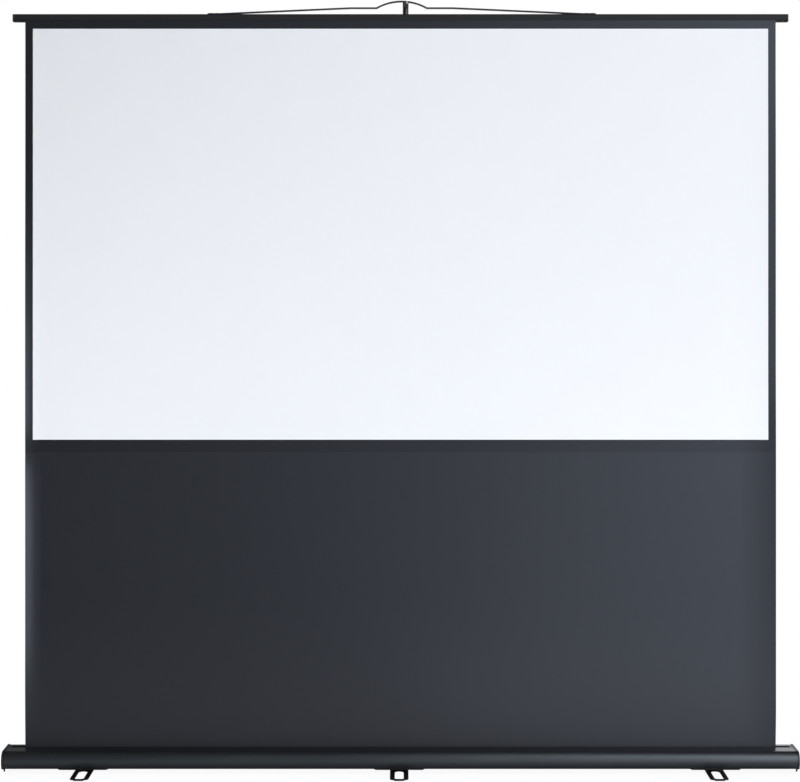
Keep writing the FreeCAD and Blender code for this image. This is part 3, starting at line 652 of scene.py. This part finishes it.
def hang(point, extra_curl):
    """Moves a point of the flat sheet: flat waves, and free edges that curl forwards."""
    x, z = point.x, point.z
    free = rise((z - case_high.z) / HELD_LOW) * rise((bar_low.z - z) / HELD_HIGH)
    waves = math.sin(WAVE_ACROSS * x + WAVE_START) * math.sin(WAVE_UP * z)
    waves += RIPPLE * math.sin(RIPPLE_ACROSS * x - RIPPLE_UP * z)
    if x < 0:
        stiff = 1 - SEAM_HOLDS * math.exp(-((z - sheet_high.z) / SEAM_REACH) ** 2)
        width, depth = LEFT_CURL_WIDTH, LEFT_CURL_DEPTH * stiff * curl(z, **LEFT_CURL)
    else:
        width, depth = RIGHT_CURL_WIDTH, RIGHT_CURL_DEPTH * curl(z, **RIGHT_CURL)
    edge = max(0.0, abs(x) - (sheet_high.x - width)) / width
    steepest = CURL_POWER * depth / width
    drawn_in = steepest ** 2 / 2 * width / (2 * CURL_POWER - 1) * edge ** (2 * CURL_POWER - 1)
    point.y -= free * WAVE * waves + (depth + extra_curl) * edge ** CURL_POWER
    point.x -= math.copysign(drawn_in, x)


def crease(bm, at, along):
    """A row of points across the cloth, where it bends or another piece ends."""
    bmesh.ops.bisect_plane(bm, geom=bm.verts[:] + bm.edges[:] + bm.faces[:], plane_co=at, plane_no=along)


def cloth(low, high, rows):
    """A flat rectangle of cloth in the sheet's plane, with more points where its edges curl."""
    bm = bmesh.new()
    bmesh.ops.create_grid(bm, x_segments=COLUMNS, y_segments=rows, size=0.5)
    bmesh.ops.scale(bm, verts=bm.verts[:], vec=(sheet_high.x - sheet_low.x, high - low, 1))
    bmesh.ops.rotate(bm, verts=bm.verts[:], matrix=Matrix.Rotation(math.radians(90), 3, "X"))
    bmesh.ops.translate(bm, verts=bm.verts[:], vec=(0, sheet_y, (low + high) / 2))
    for share in CURL_CREASES:
        crease(bm, (sheet_low.x + share * LEFT_CURL_WIDTH, 0, 0), (1, 0, 0))
        crease(bm, (sheet_high.x - share * RIGHT_CURL_WIDTH, 0, 0), (1, 0, 0))
    return bm


def sheet_piece(name, bm, thickness, finish, node, extra_curl=0):
    """A sheet of cloth, hung with its waves and curls and given a thickness."""
    for vert in bm.verts:
        hang(vert.co, extra_curl)
    bmesh.ops.recalc_face_normals(bm, faces=bm.faces[:])
    bmesh.ops.solidify(bm, geom=bm.faces[:], thickness=thickness)
    bmesh.ops.recalc_face_normals(bm, faces=bm.faces[:])
    made = piece(name, bm, finish, node)
    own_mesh(made)
    return made


def coated_cloth(name, roughness, specular, tint, thread, depth):
    """Coated cloth whose threads show faintly through the coating, and the mottle of that coating."""
    finish = Finish(name, Specular_IOR_Level=specular, Specular_Tint=(*tint, 1))
    mottle = finish.noise(scale=9, detail=3)
    lie = {"Vector": finish.at, "Scale": ONE_BAND / thread}
    warp, weft = (finish.node("TexWave", {"bands_direction": direction}, lie) for direction in ("X", "Z"))
    finish.roughen(roughness, (MOTTLE_SPREAD, mottle))
    finish.bump(warp + weft + finish.noise(scale=1800), depth, strength=0.3)
    return finish, mottle


masked = cloth(sheet_high.z, sheet_top, MASK_ROWS)
for corner in (white_low, white_high):
    crease(masked, corner, (1, 0, 0))
    crease(masked, corner, (0, 0, 1))
white = masked.copy()
border = []
for face in white.faces:
    middle = face.calc_center_median()
    if not (white_low.x < middle.x < white_high.x and white_low.z < middle.z < white_high.z):
        border.append(face)
bmesh.ops.delete(white, geom=border, context="FACES")
bmesh.ops.translate(white, verts=white.verts[:], vec=(0, -SHEET_THICKNESS / 2 - WHITE_PROUD, 0))
mask_finish, mask_mottle = coated_cloth("mask_black", 0.50, 0.58, COOL, thread=0.0006, depth=0.00004)
mask_finish.shade(mask_mottle, MASK_COLOUR, MASK_TONES)
masked_piece = sheet_piece("masked_cloth", masked, SHEET_THICKNESS, mask_finish, "masked_sheet")
white_finish, white_mottle = coated_cloth("screen_white", 0.9, 0.15, NEUTRAL, thread=0.0006, depth=0.00003)
white_finish.shade(white_mottle, WHITE_COLOUR, WHITE_TONES)
white_piece = sheet_piece("white_surface", white, WHITE_THICKNESS, white_finish, "white_viewing_surface",
                          WHITE_EXTRA_CURL)

drop = cloth(sheet_low.z, sheet_high.z, DROP_ROWS)
for share in SEAM_CREASES:
    crease(drop, (0, 0, sheet_high.z - share * SEAM_WIDTH), (0, 0, 1))
for vert in drop.verts:
    across = (sheet_high.z - vert.co.z) / SEAM_WIDTH
    if across < 1:
        vert.co.y -= SEAM_BEAD * math.sin(math.pi * across)
drop_finish, _ = coated_cloth("drop_black", 0.51, 0.70, COOL, thread=0.0009, depth=0.00006)
# The drop's base colour is painted lighter towards the bottom, a painted reflection of the lit floor in
# front.
height = drop_finish.node("SeparateXYZ", {}, {"Vector": drop_finish.at}, output="Z")
painted_reflection_share = drop_finish.node("MapRange", {"interpolation_type": "SMOOTHSTEP"},
                            {"Value": height, "From Min": FLOOR_REFLECTION_TOP, "From Max": case_high.z})
drop_finish.feed("Base Color", drop_finish.between(painted_reflection_share, DROP_COLOUR, FLOOR_REFLECTION_COLOUR))
drop_level = ROLLER_LEVEL + sheet_left_over * (sheet_high.z - ROLLER_LEVEL) - DROP_LEFT
drop_left_over = DROP_LEFT / (sheet_high.z - drop_level)
drop_piece = sheet_piece("drop_cloth", drop, SHEET_THICKNESS, drop_finish, "drop_sheet")
dress(drop_finish, "fabric_wraps")


# Top bar
# A small black extrusion along the head of the sheet. The sheet is clamped with a plastic strip in the pocket
# behind the bar's front lip, and a moulded cap closes each end.
BAR_CORNER = 0.003
BAR_WALL = 0.0018
BAR_EASE = 0.0004
BAR_CAP_EASE = 0.0008
LIP_BOTTOM = 1.803
LIP_BACK = 0.0177
POCKET_REAR = 0.0208
POCKET_TOP = 1.811
BAR_COLOUR = (0.0174, 0.0178, 0.0190)


def bar_line(steps):
    """The bar's outside, with the steps that lead from its front to its underside."""
    low, high, rear = bar_low.z, bar_high.z, bar_high.y
    front_corner, rear_corner = bar_low.y + BAR_CORNER, rear - BAR_CORNER
    return [
        (front_corner, high), (front_corner, high - BAR_CORNER, 90), *steps,
        (rear_corner, low), (rear_corner, low + BAR_CORNER, 90),
        (rear, high - BAR_CORNER), (rear_corner, high - BAR_CORNER, 90),
    ]


pocket = [
    (bar_low.y, LIP_BOTTOM), (LIP_BACK, LIP_BOTTOM), (LIP_BACK, POCKET_TOP), (POCKET_REAR, POCKET_TOP),
    (POCKET_REAR, bar_low.z),
]
hollow_front, hollow_rear = POCKET_REAR + BAR_WALL, bar_high.y - BAR_WALL
hollow_low, hollow_high = bar_low.z + BAR_WALL, bar_high.z - BAR_WALL
hollow = [
    (hollow_front, hollow_low), (hollow_rear, hollow_low),
    (hollow_rear, hollow_high), (hollow_front, hollow_high),
]
bar = eased(slab(bar_high.x - bar_low.x, bar_line(pocket), hollow), BAR_EASE, 2)
bar.transform(lengthwise(bar_low.x))
bar_finish = coated_metal("bar_black", BAR_COLOUR, 0.62, "x", specular=0.18)
piece("head_bar", bar, bar_finish, "top_bar_extrusion")
for side in ("left", "right"):
    low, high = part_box("top_bar_cap_" + side)
    start = low.x if side == "left" else bar_high.x
    end = bar_low.x if side == "left" else high.x
    bar_cap = eased(slab(end - start, bar_line([(bar_low.y, bar_low.z)])), BAR_CAP_EASE)
    bar_cap.transform(lengthwise(start))
    piece("head_bar_cap_" + side, bar_cap, plastic_finish, "top_bar_cap_" + side)
dress(plastic_finish, "fabric_clamp_strip")


# Handle strap
# A long flat strap of black-coated spring steel. It is riveted to the bar near both ends of the strap, rises
# off the bar, and has an arch in its middle that hangs on the pole's hook.
HANDLE_X = 0.003
TAB_END = 0.468
RAMP_FOOT = 0.438
RAMP_TOP = 0.124
STRAP_LIFT = 0.014
STRAP_THICKNESS = 0.0028
STRAP_EASE = 0.0004
ARCH_RADIUS = 0.121
ARCH_RISE = 0.0161
RIVET_PLACES = (0.446, 0.460)
RIVET_SHANK = 0.002
RIVET_HEAD = ((0.0035, 0), (0.0034, 0.0005), (0.0026, 0.0010), (0.0013, 0.0012), (0, 0.0012))
STRAP_COLOUR = (0.012, 0.012, 0.013)
ALONG_MINUS_Y = Matrix(((1, 0, 0, 0), (0, 0, -1, 0), (0, 1, 0, 0), (0, 0, 0, 1)))
strap_low, strap_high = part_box("handle_strap")


def forwards(rear):
    """The place of a slab that is drawn out to the front from its rear face."""
    return Matrix.Translation((0, rear, 0)) @ ALONG_MINUS_Y


def strap_side(above, arch, way):
    """One face of the strap, at a height above the bar: from left to right, or back with a way of -1."""
    base = strap_low.z + above
    flat = base + STRAP_LIFT
    centre = strap_low.z + STRAP_LIFT + ARCH_RISE - ARCH_RADIUS
    kink = math.sqrt(arch ** 2 - (flat - centre) ** 2)
    swing = math.degrees(2 * math.asin(kink / arch))
    ramp = [(TAB_END, base), (RAMP_FOOT, base), (RAMP_TOP, flat)]
    return [
        *((HANDLE_X - way * along, z) for along, z in ramp),
        (HANDLE_X - way * kink, flat), (HANDLE_X, centre, -way * swing),
        *((HANDLE_X + way * along, z) for along, z in reversed(ramp)),
    ]


under_face = strap_side(0, ARCH_RADIUS, 1)
upper_face = strap_side(STRAP_THICKNESS, ARCH_RADIUS + STRAP_THICKNESS, -1)
strap = eased(slab(strap_high.y - strap_low.y, under_face + upper_face), STRAP_EASE, 2, sharper=50)
strap.transform(forwards(strap_high.y))
strap_finish = coated_metal("strap_black", STRAP_COLOUR, 0.42, "x")
piece("carrying_strap", strap, strap_finish, "handle_strap")
rivets = []
strap_y = (strap_low.y + strap_high.y) / 2
rivet_foot = strap_low.z - BAR_WALL
rivet_seat = strap_low.z + STRAP_THICKNESS - rivet_foot
for x in (HANDLE_X + sign * along for sign in (-1, 1) for along in RIVET_PLACES):
    rivet_head = [(radius, rivet_seat + up) for radius, up in RIVET_HEAD]
    rivet = turned((0, 0), (RIVET_SHANK, 0), (RIVET_SHANK, rivet_seat), *rivet_head, sides=24)
    rivets.append((rivet, Matrix.Translation((x, strap_y, rivet_foot))))
piece("strap_rivets", assembled(*rivets), screw_finish, "handle_rivets")


# Pole socket
# A plastic moulding with a flange, which is screwed to the back of the case, and a barrel that the foot of
# the pole stands in. A web joins the two.
POLE = Vector((0.0125, 0.063))
FLANGE_HALF = 0.034
FLANGE_THICKNESS = 0.004
FLANGE_BOTTOM = 0.017
FLANGE_TOP = 0.050
FLANGE_CORNER = 0.006
SOCKET_EASE = 0.0010
SOCKET_RADIUS = 0.016
SOCKET_TOP = 0.074
SOCKET_NECK = 0.008
SOCKET_EDGE = 0.001
WEB_FOOT = 0.0144
WEB_END = 0.0120
WEB_RADIUS = 0.0135
WEB_INSET = 0.001
SOCKET_SCREW_X = 0.026
SOCKET_SCREW_LEVELS = (0.024, 0.043)
SOCKET_SCREW = {"head": 0.0036, "head_height": 0.0014, "shank": 0.0019, "length": 0.006}
LOWER_RADIUS = 0.011
LOWER_FOOT = 0.020
TUBE_FIT = 0.0002
TUBE_MOUTH = 0.0008
case_back = case_high.y
flange_back = case_back + FLANGE_THICKNESS
flange_line = round_rectangle(
    POLE.x - FLANGE_HALF, FLANGE_BOTTOM, POLE.x + FLANGE_HALF, FLANGE_TOP, FLANGE_CORNER)
flange = eased(slab(FLANGE_THICKNESS, flange_line), SOCKET_EASE)
web_turn = math.degrees(math.acos(WEB_END / WEB_RADIUS))
web_line = [
    (POLE.x - WEB_FOOT, case_back + WEB_INSET), (POLE.x + WEB_FOOT, case_back + WEB_INSET),
    (POLE.x + WEB_END, POLE.y - math.sqrt(WEB_RADIUS ** 2 - WEB_END ** 2)), (*POLE, 2 * web_turn - 180),
]
web = eased(slab(FLANGE_TOP - FLANGE_BOTTOM - 2 * WEB_INSET, web_line), SOCKET_EASE)
neck, neck_low, bore = SOCKET_RADIUS - SOCKET_EDGE, SOCKET_TOP - SOCKET_NECK, LOWER_RADIUS + TUBE_FIT
barrel = turned(
    (0, FLANGE_BOTTOM), (neck, FLANGE_BOTTOM), (SOCKET_RADIUS, FLANGE_BOTTOM + SOCKET_EDGE),
    (SOCKET_RADIUS, neck_low), (neck, neck_low + SOCKET_EDGE), (neck, SOCKET_TOP - SOCKET_EDGE),
    (neck - SOCKET_EDGE, SOCKET_TOP), (LOWER_RADIUS + TUBE_MOUTH, SOCKET_TOP),
    (bore, SOCKET_TOP - SOCKET_EDGE), (bore, LOWER_FOOT), (0, LOWER_FOOT), sides=64)
pole_place = Matrix.Translation((*POLE, 0))
socket_parts = [
    (flange, forwards(flange_back)), (barrel, pole_place),
    (web, Matrix.Translation((0, 0, FLANGE_BOTTOM + WEB_INSET))),
]
piece("socket_for_pole", assembled(*socket_parts), plastic_finish, "pole_socket")
socket_screws = []
for x in (POLE.x - SOCKET_SCREW_X, POLE.x + SOCKET_SCREW_X):
    for z in SOCKET_SCREW_LEVELS:
        socket_screws += cross_screw((0, 1, 0), (x, flange_back, z), **SOCKET_SCREW)
piece("socket_screws", assembled(*socket_screws), screw_finish, "pole_socket_screws")


# Pole
# Three black anodised tubes that slide in each other. A nylon bush on the foot of each inner tube guides it,
# and the lowest tube stands in the socket.
TUBE_WALL = 0.0014
TUBE_LIP = 0.0004
TUBES = {"lower": LOWER_RADIUS, "middle": 0.009, "upper": 0.007}
POLE_COLOUR = (0.015, 0.0155, 0.0165)
pole_finish = coated_metal("pole_black", POLE_COLOUR, 0.34, "z", grain=2400)
for section, radius in TUBES.items():
    node = "pole_%s_tube" % section
    low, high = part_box(node)
    inner = radius - TUBE_WALL
    tube = turned((inner, low.z), (radius - TUBE_LIP, low.z), (radius, low.z + TUBE_LIP),
                  (radius, high.z - TUBE_LIP), (radius - TUBE_LIP, high.z), (inner, high.z), hollow=True)
    tube.transform(pole_place)
    piece("tube_%s" % section, tube, pole_finish, node)
dress(nylon_finish, "pole_middle_bush", "pole_upper_bush")


# Clamps of the pole
# A moulded collar on the head of each outer tube, with two ears. A steel pin through the ears carries a
# curved lever, which lies round the collar when the clamp is shut.
COLLAR_WALL = 0.006
COLLAR_BELOW = 0.018
COLLAR_FIT = 0.0001
COLLAR_EDGE = 0.0012
COLLAR_BAND = 0.010
COLLAR_WAIST = 0.0008
COLLAR_BROW = 0.0025
EAR_THICKNESS = 0.008
EAR_HALF = 0.0055
EAR_ROOT = 0.6
EAR_EASE = 0.0008
PIN_OUT = 0.0058
PIN_BACK = 0.006
LEVER_HUB = 0.0046
LEVER_HUB_EASE = 0.0006
LEVER_BORE = 0.0021
LEVER_GAP = 0.0016
LEVER_THICKNESS = 0.0036
LEVER_EASE = 0.0008
LEVER_TIP = Vector((0.8, 0.9))
for section, outer_tube, inner_tube in (("lower", "lower", "middle"), ("upper", "middle", "upper")):
    collar_node = "pole_%s_clamp_collar" % section
    low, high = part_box(collar_node)
    reach = TUBES[outer_tube] + COLLAR_WALL
    waist, flank = reach - COLLAR_WAIST, COLLAR_BAND + COLLAR_WAIST
    outer_fit, inner_fit = TUBES[outer_tube] + COLLAR_FIT, TUBES[inner_tube] + TUBE_FIT
    step = low.z + COLLAR_BELOW
    collar = turned(
        (outer_fit, low.z), (reach - COLLAR_EDGE, low.z), (reach, low.z + COLLAR_EDGE),
        (reach, low.z + COLLAR_BAND), (waist, low.z + flank), (waist, high.z - flank),
        (reach, high.z - COLLAR_BAND), (reach, high.z - COLLAR_BROW), (reach - COLLAR_BROW, high.z),
        (TUBES[inner_tube] + TUBE_MOUTH, high.z), (inner_fit, high.z - TUBE_MOUTH), (inner_fit, step),
        (outer_fit, step), hollow=True, sides=64)
    pin_x, pin_y = POLE.x - reach - PIN_OUT, POLE.y + PIN_BACK
    ear_root = POLE.x - reach * EAR_ROOT
    ears = []
    for ear_low in (low.z, high.z - EAR_THICKNESS):
        ear = eased(slab(EAR_THICKNESS, [
            (ear_root, pin_y + EAR_HALF), (pin_x, pin_y + EAR_HALF), (pin_x, pin_y, 180),
            (ear_root, pin_y - EAR_HALF)]), EAR_EASE)
        ears.append((ear, Matrix.Translation((0, 0, ear_low))))
    piece("collar_" + section, assembled((collar, pole_place), *ears), plastic_finish, collar_node)
    dress(steel_finish, "pole_%s_clamp_pin" % section)

    lever_node = "pole_%s_clamp_lever" % section
    lever_low, lever_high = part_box(lever_node)
    lever_height = lever_high.z - lever_low.z
    inside = reach + LEVER_GAP
    outside = inside + LEVER_THICKNESS
    tip_in, tip_out = (tuple(POLE + r * LEVER_TIP) for r in (inside, outside))
    start = math.degrees(math.asin(PIN_BACK / outside))
    arm = eased(slab(lever_height, [
        (POLE.x, POLE.y + inside), tip_in, tip_out, (POLE.x, POLE.y + outside), (*POLE, 90 - start),
        (POLE.x - math.sqrt(inside ** 2 - PIN_BACK ** 2), pin_y)]), LEVER_EASE)
    hub = turned((LEVER_BORE, 0), (LEVER_HUB, 0), (LEVER_HUB, lever_height), (LEVER_BORE, lever_height),
                 hollow=True, sides=32)
    lever_parts = [
        (arm, Matrix.Translation((0, 0, lever_low.z))),
        (eased(hub, LEVER_HUB_EASE, sharper=60), Matrix.Translation((pin_x, pin_y, lever_low.z))),
    ]
    piece("lever_" + section, assembled(*lever_parts), plastic_finish, lever_node)


# Hook
# A moulded head plugged into the upper tube. Its arm reaches forward under the handle's arch. In front, its
# left half rises to a lip that keeps the strap on, and a steel tab stands on its lower right half.
HOOK_ARM_BOTTOM = 1.836
HOOK_ARM_TOP = 1.8462
HOOK_SEAT = 0.0199
HOOK_RIGHT_TOP = 1.842
HOOK_CHIN = 0.003
HOOK_PLUG = 0.02
HOOK_EDGE = 0.002
HOOK_EASE = 0.0007
HALVES_OVERLAP = 0.0004
KEEPER_LOW = 1.8385
KEEPER_TOP = 1.8482
KEEPER_LEFT = 0.0133
KEEPER_RIGHT = 0.0172
KEEPER_FRONT = 0.0152
KEEPER_THICKNESS = 0.0012
KEEPER_EASE = 0.0004
hook_low, hook_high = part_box("pole_hook")
tube_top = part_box("pole_upper_tube")[1].z
hook_radius = TUBES["upper"]
hook_middle = (hook_low.x + hook_high.x) / 2


def hook_side(lip):
    """The side of half the arm, with its front up to a level."""
    front, chin_level = hook_low.y, HOOK_ARM_BOTTOM + HOOK_CHIN
    return [
        (POLE.y, HOOK_ARM_BOTTOM), (POLE.y, HOOK_ARM_TOP), (HOOK_SEAT, HOOK_ARM_TOP), (HOOK_SEAT, lip),
        (front, lip), (front, chin_level), (front + HOOK_CHIN, chin_level, 90),
    ]


plug_radius, plug_foot = hook_radius - TUBE_WALL, tube_top - HOOK_PLUG
head = turned(
    (0, plug_foot), (plug_radius, plug_foot), (plug_radius, tube_top), (hook_radius, tube_top),
    (hook_radius, HOOK_ARM_TOP - HOOK_EDGE), (hook_radius - HOOK_EDGE, HOOK_ARM_TOP), (0, HOOK_ARM_TOP))
halves = []
for start, lip in ((hook_low.x, hook_high.z), (hook_middle - HALVES_OVERLAP, HOOK_RIGHT_TOP)):
    half = eased(slab(hook_middle - hook_low.x + HALVES_OVERLAP, hook_side(lip)), HOOK_EASE)
    halves.append((half, lengthwise(start)))
keeper = eased(slab(KEEPER_THICKNESS, [
    (KEEPER_LEFT, KEEPER_LOW), (KEEPER_RIGHT, KEEPER_LOW),
    (KEEPER_RIGHT, KEEPER_TOP), (KEEPER_LEFT, KEEPER_TOP)]), KEEPER_EASE)
for face in keeper.faces:
    face.material_index = 1
hook_parts = [(head, pole_place), *halves, (keeper, forwards(KEEPER_FRONT + KEEPER_THICKNESS))]
hook = piece("strap_hook", assembled(*hook_parts), plastic_finish, "pole_hook")
hook.data.materials.append(plated("keeper_steel", STEEL_COLOUR, 0.47, "z").material)


# Studio
# A pale floor and a white background, with one large soft light in front on the right. Weaker lights above,
# below and on the left shape the front, and others reach the sides and the back.
FLOOR_SIZE = 30.0
BACKDROP = (1.0, 1.0, 1.0, 1)
ROOM_COLOUR = (0.95, 0.975, 1.0, 1)
ROOM_STRENGTH = 0.042
FLOOR_COLOUR = (0.84, 0.84, 0.85)
CONTACT = 0.03
CONTACT_SHADE = (0.93, 0.93, 0.94)
NEAR = 0.06
NEAR_SHADE = (0.02, 0.02, 0.022)
LIGHT_COLOUR = (0.965, 0.98, 1.0)


def seen_or_felt(nodes, seen, felt, output):
    """One shader for what the camera sees, and another for the light that reaches the object."""
    camera_ray = nodes.node("LightPath", output="Is Camera Ray")
    mix = nodes.node("MixShader", {}, {0: camera_ray, 1: felt, 2: seen})
    nodes.join(nodes.tree.nodes[output].inputs["Surface"], mix)


floor_mesh = bpy.data.meshes.new("floor")
floor_bm = bmesh.new()
bmesh.ops.create_grid(floor_bm, x_segments=1, y_segments=1, size=FLOOR_SIZE / 2)
floor_bm.to_mesh(floor_mesh)
floor_bm.free()
floor = bpy.data.objects.new("floor", floor_mesh)
bpy.context.scene.collection.objects.link(floor)
floor_finish = Finish("pale_floor")
floor_mesh.materials.append(floor_finish.material)
open_sky = floor_finish.node("AmbientOcclusion", {}, {"Distance": CONTACT}, output="AO")
floor_seen = floor_finish.node(
    "Emission", {}, {"Color": floor_finish.between(open_sky, CONTACT_SHADE, BACKDROP[:3])})
near_sky = floor_finish.node("AmbientOcclusion", {}, {"Distance": NEAR}, output="AO")
floor_felt = floor_finish.node(
    "BsdfDiffuse", {}, {"Color": floor_finish.between(near_sky * near_sky, NEAR_SHADE, FLOOR_COLOUR)})
seen_or_felt(floor_finish, floor_seen, floor_felt, "Material Output")

world = bpy.data.worlds.new("studio")
bpy.context.scene.world = world
world_nodes = Nodes(world)
room_seen = world_nodes.node("Background", {}, {"Color": BACKDROP})
room_felt = world_nodes.node("Background", {}, {"Color": ROOM_COLOUR, "Strength": ROOM_STRENGTH})
seen_or_felt(world_nodes, room_seen, room_felt, "World Output")


def soft_light(name, at, target, size, power, spread=180):
    """A rectangle of light that the camera doesn't see, turned towards a target."""
    lamp = bpy.data.lights.new(name, "AREA")
    lamp.shape = "RECTANGLE"
    lamp.size, lamp.size_y = size
    lamp.energy = power
    lamp.color = LIGHT_COLOUR
    lamp.spread = math.radians(spread)
    light = bpy.data.objects.new(name, lamp)
    light.location = at
    light.rotation_mode = "QUATERNION"
    light.rotation_quaternion = (Vector(target) - Vector(at)).to_track_quat("-Z", "Y")
    light.visible_camera = False
    bpy.context.scene.collection.objects.link(light)
    return light


soft_light("key_right", at=(6.0, -8.0, 2.7), target=(0, 0, 0.9), size=(2.2, 5.4), power=800)
high_right = soft_light("high_right", at=(5.0, -6.6, 6.6), target=(0.2, 0, 0.3), size=(2.6, 5.0), power=68)
high_right.visible_diffuse = False
soft_light("over_right", at=(0.9, -0.8, 2.3), target=(0.9, -0.7, 0), size=(1.4, 0.5), power=0.9, spread=60)
soft_light("over_front", at=(1.5, -3.0, 2.9), target=(1.5, -2.9, 0), size=(1.4, 1.2), power=20.7, spread=110)
soft_light("floor_card", at=(0.75, -0.8, 0.004), target=(0.75, -0.8, 1), size=(1.4, 1.0), power=2.5)
low_left = soft_light("low_left", at=(-2.2, -2.2, 0.15), target=(-0.3, 0, 0.7), size=(1.2, 0.6), power=7.5,
                      spread=80)
low_left.visible_glossy = False
soft_light("rear_right", at=(1.95, 3.0, 0.9), target=(0.9, 0, 0.2), size=(1.6, 1.4), power=14)
soft_light("rear_left", at=(-1.95, 3.0, 0.9), target=(-0.9, 0, 0.2), size=(1.6, 1.4), power=1.7)
soft_light("rear_card", at=(-0.4, 3.2, 0.02), target=(-0.4, 3.2, 1), size=(4.0, 3.0), power=40)
soft_light("side_right", at=(6.5, 1.6, 2.2), target=(0.9, 0, 0.6), size=(1.8, 2.6), power=90)
soft_light("side_left", at=(-6.5, 1.6, 2.2), target=(-0.9, 0, 0.6), size=(1.8, 2.6), power=90)

CAMERA_AT = (0.0, -4.362, 1.210)
LENS = 81.8
SENSOR_WIDTH = 36
HORIZON_SHIFT = -0.156
SIDE_SHIFT = -0.0006
camera_data = bpy.data.cameras.new("camera")
camera_data.lens = LENS
camera_data.sensor_width = SENSOR_WIDTH
camera_data.shift_x = SIDE_SHIFT
camera_data.shift_y = HORIZON_SHIFT
camera = bpy.data.objects.new("camera", camera_data)
camera.location = CAMERA_AT
camera.rotation_euler = (math.radians(90), 0, 0)
bpy.context.scene.collection.objects.link(camera)
bpy.context.scene.camera = camera
bpy.context.scene.view_settings.view_transform = "Standard"
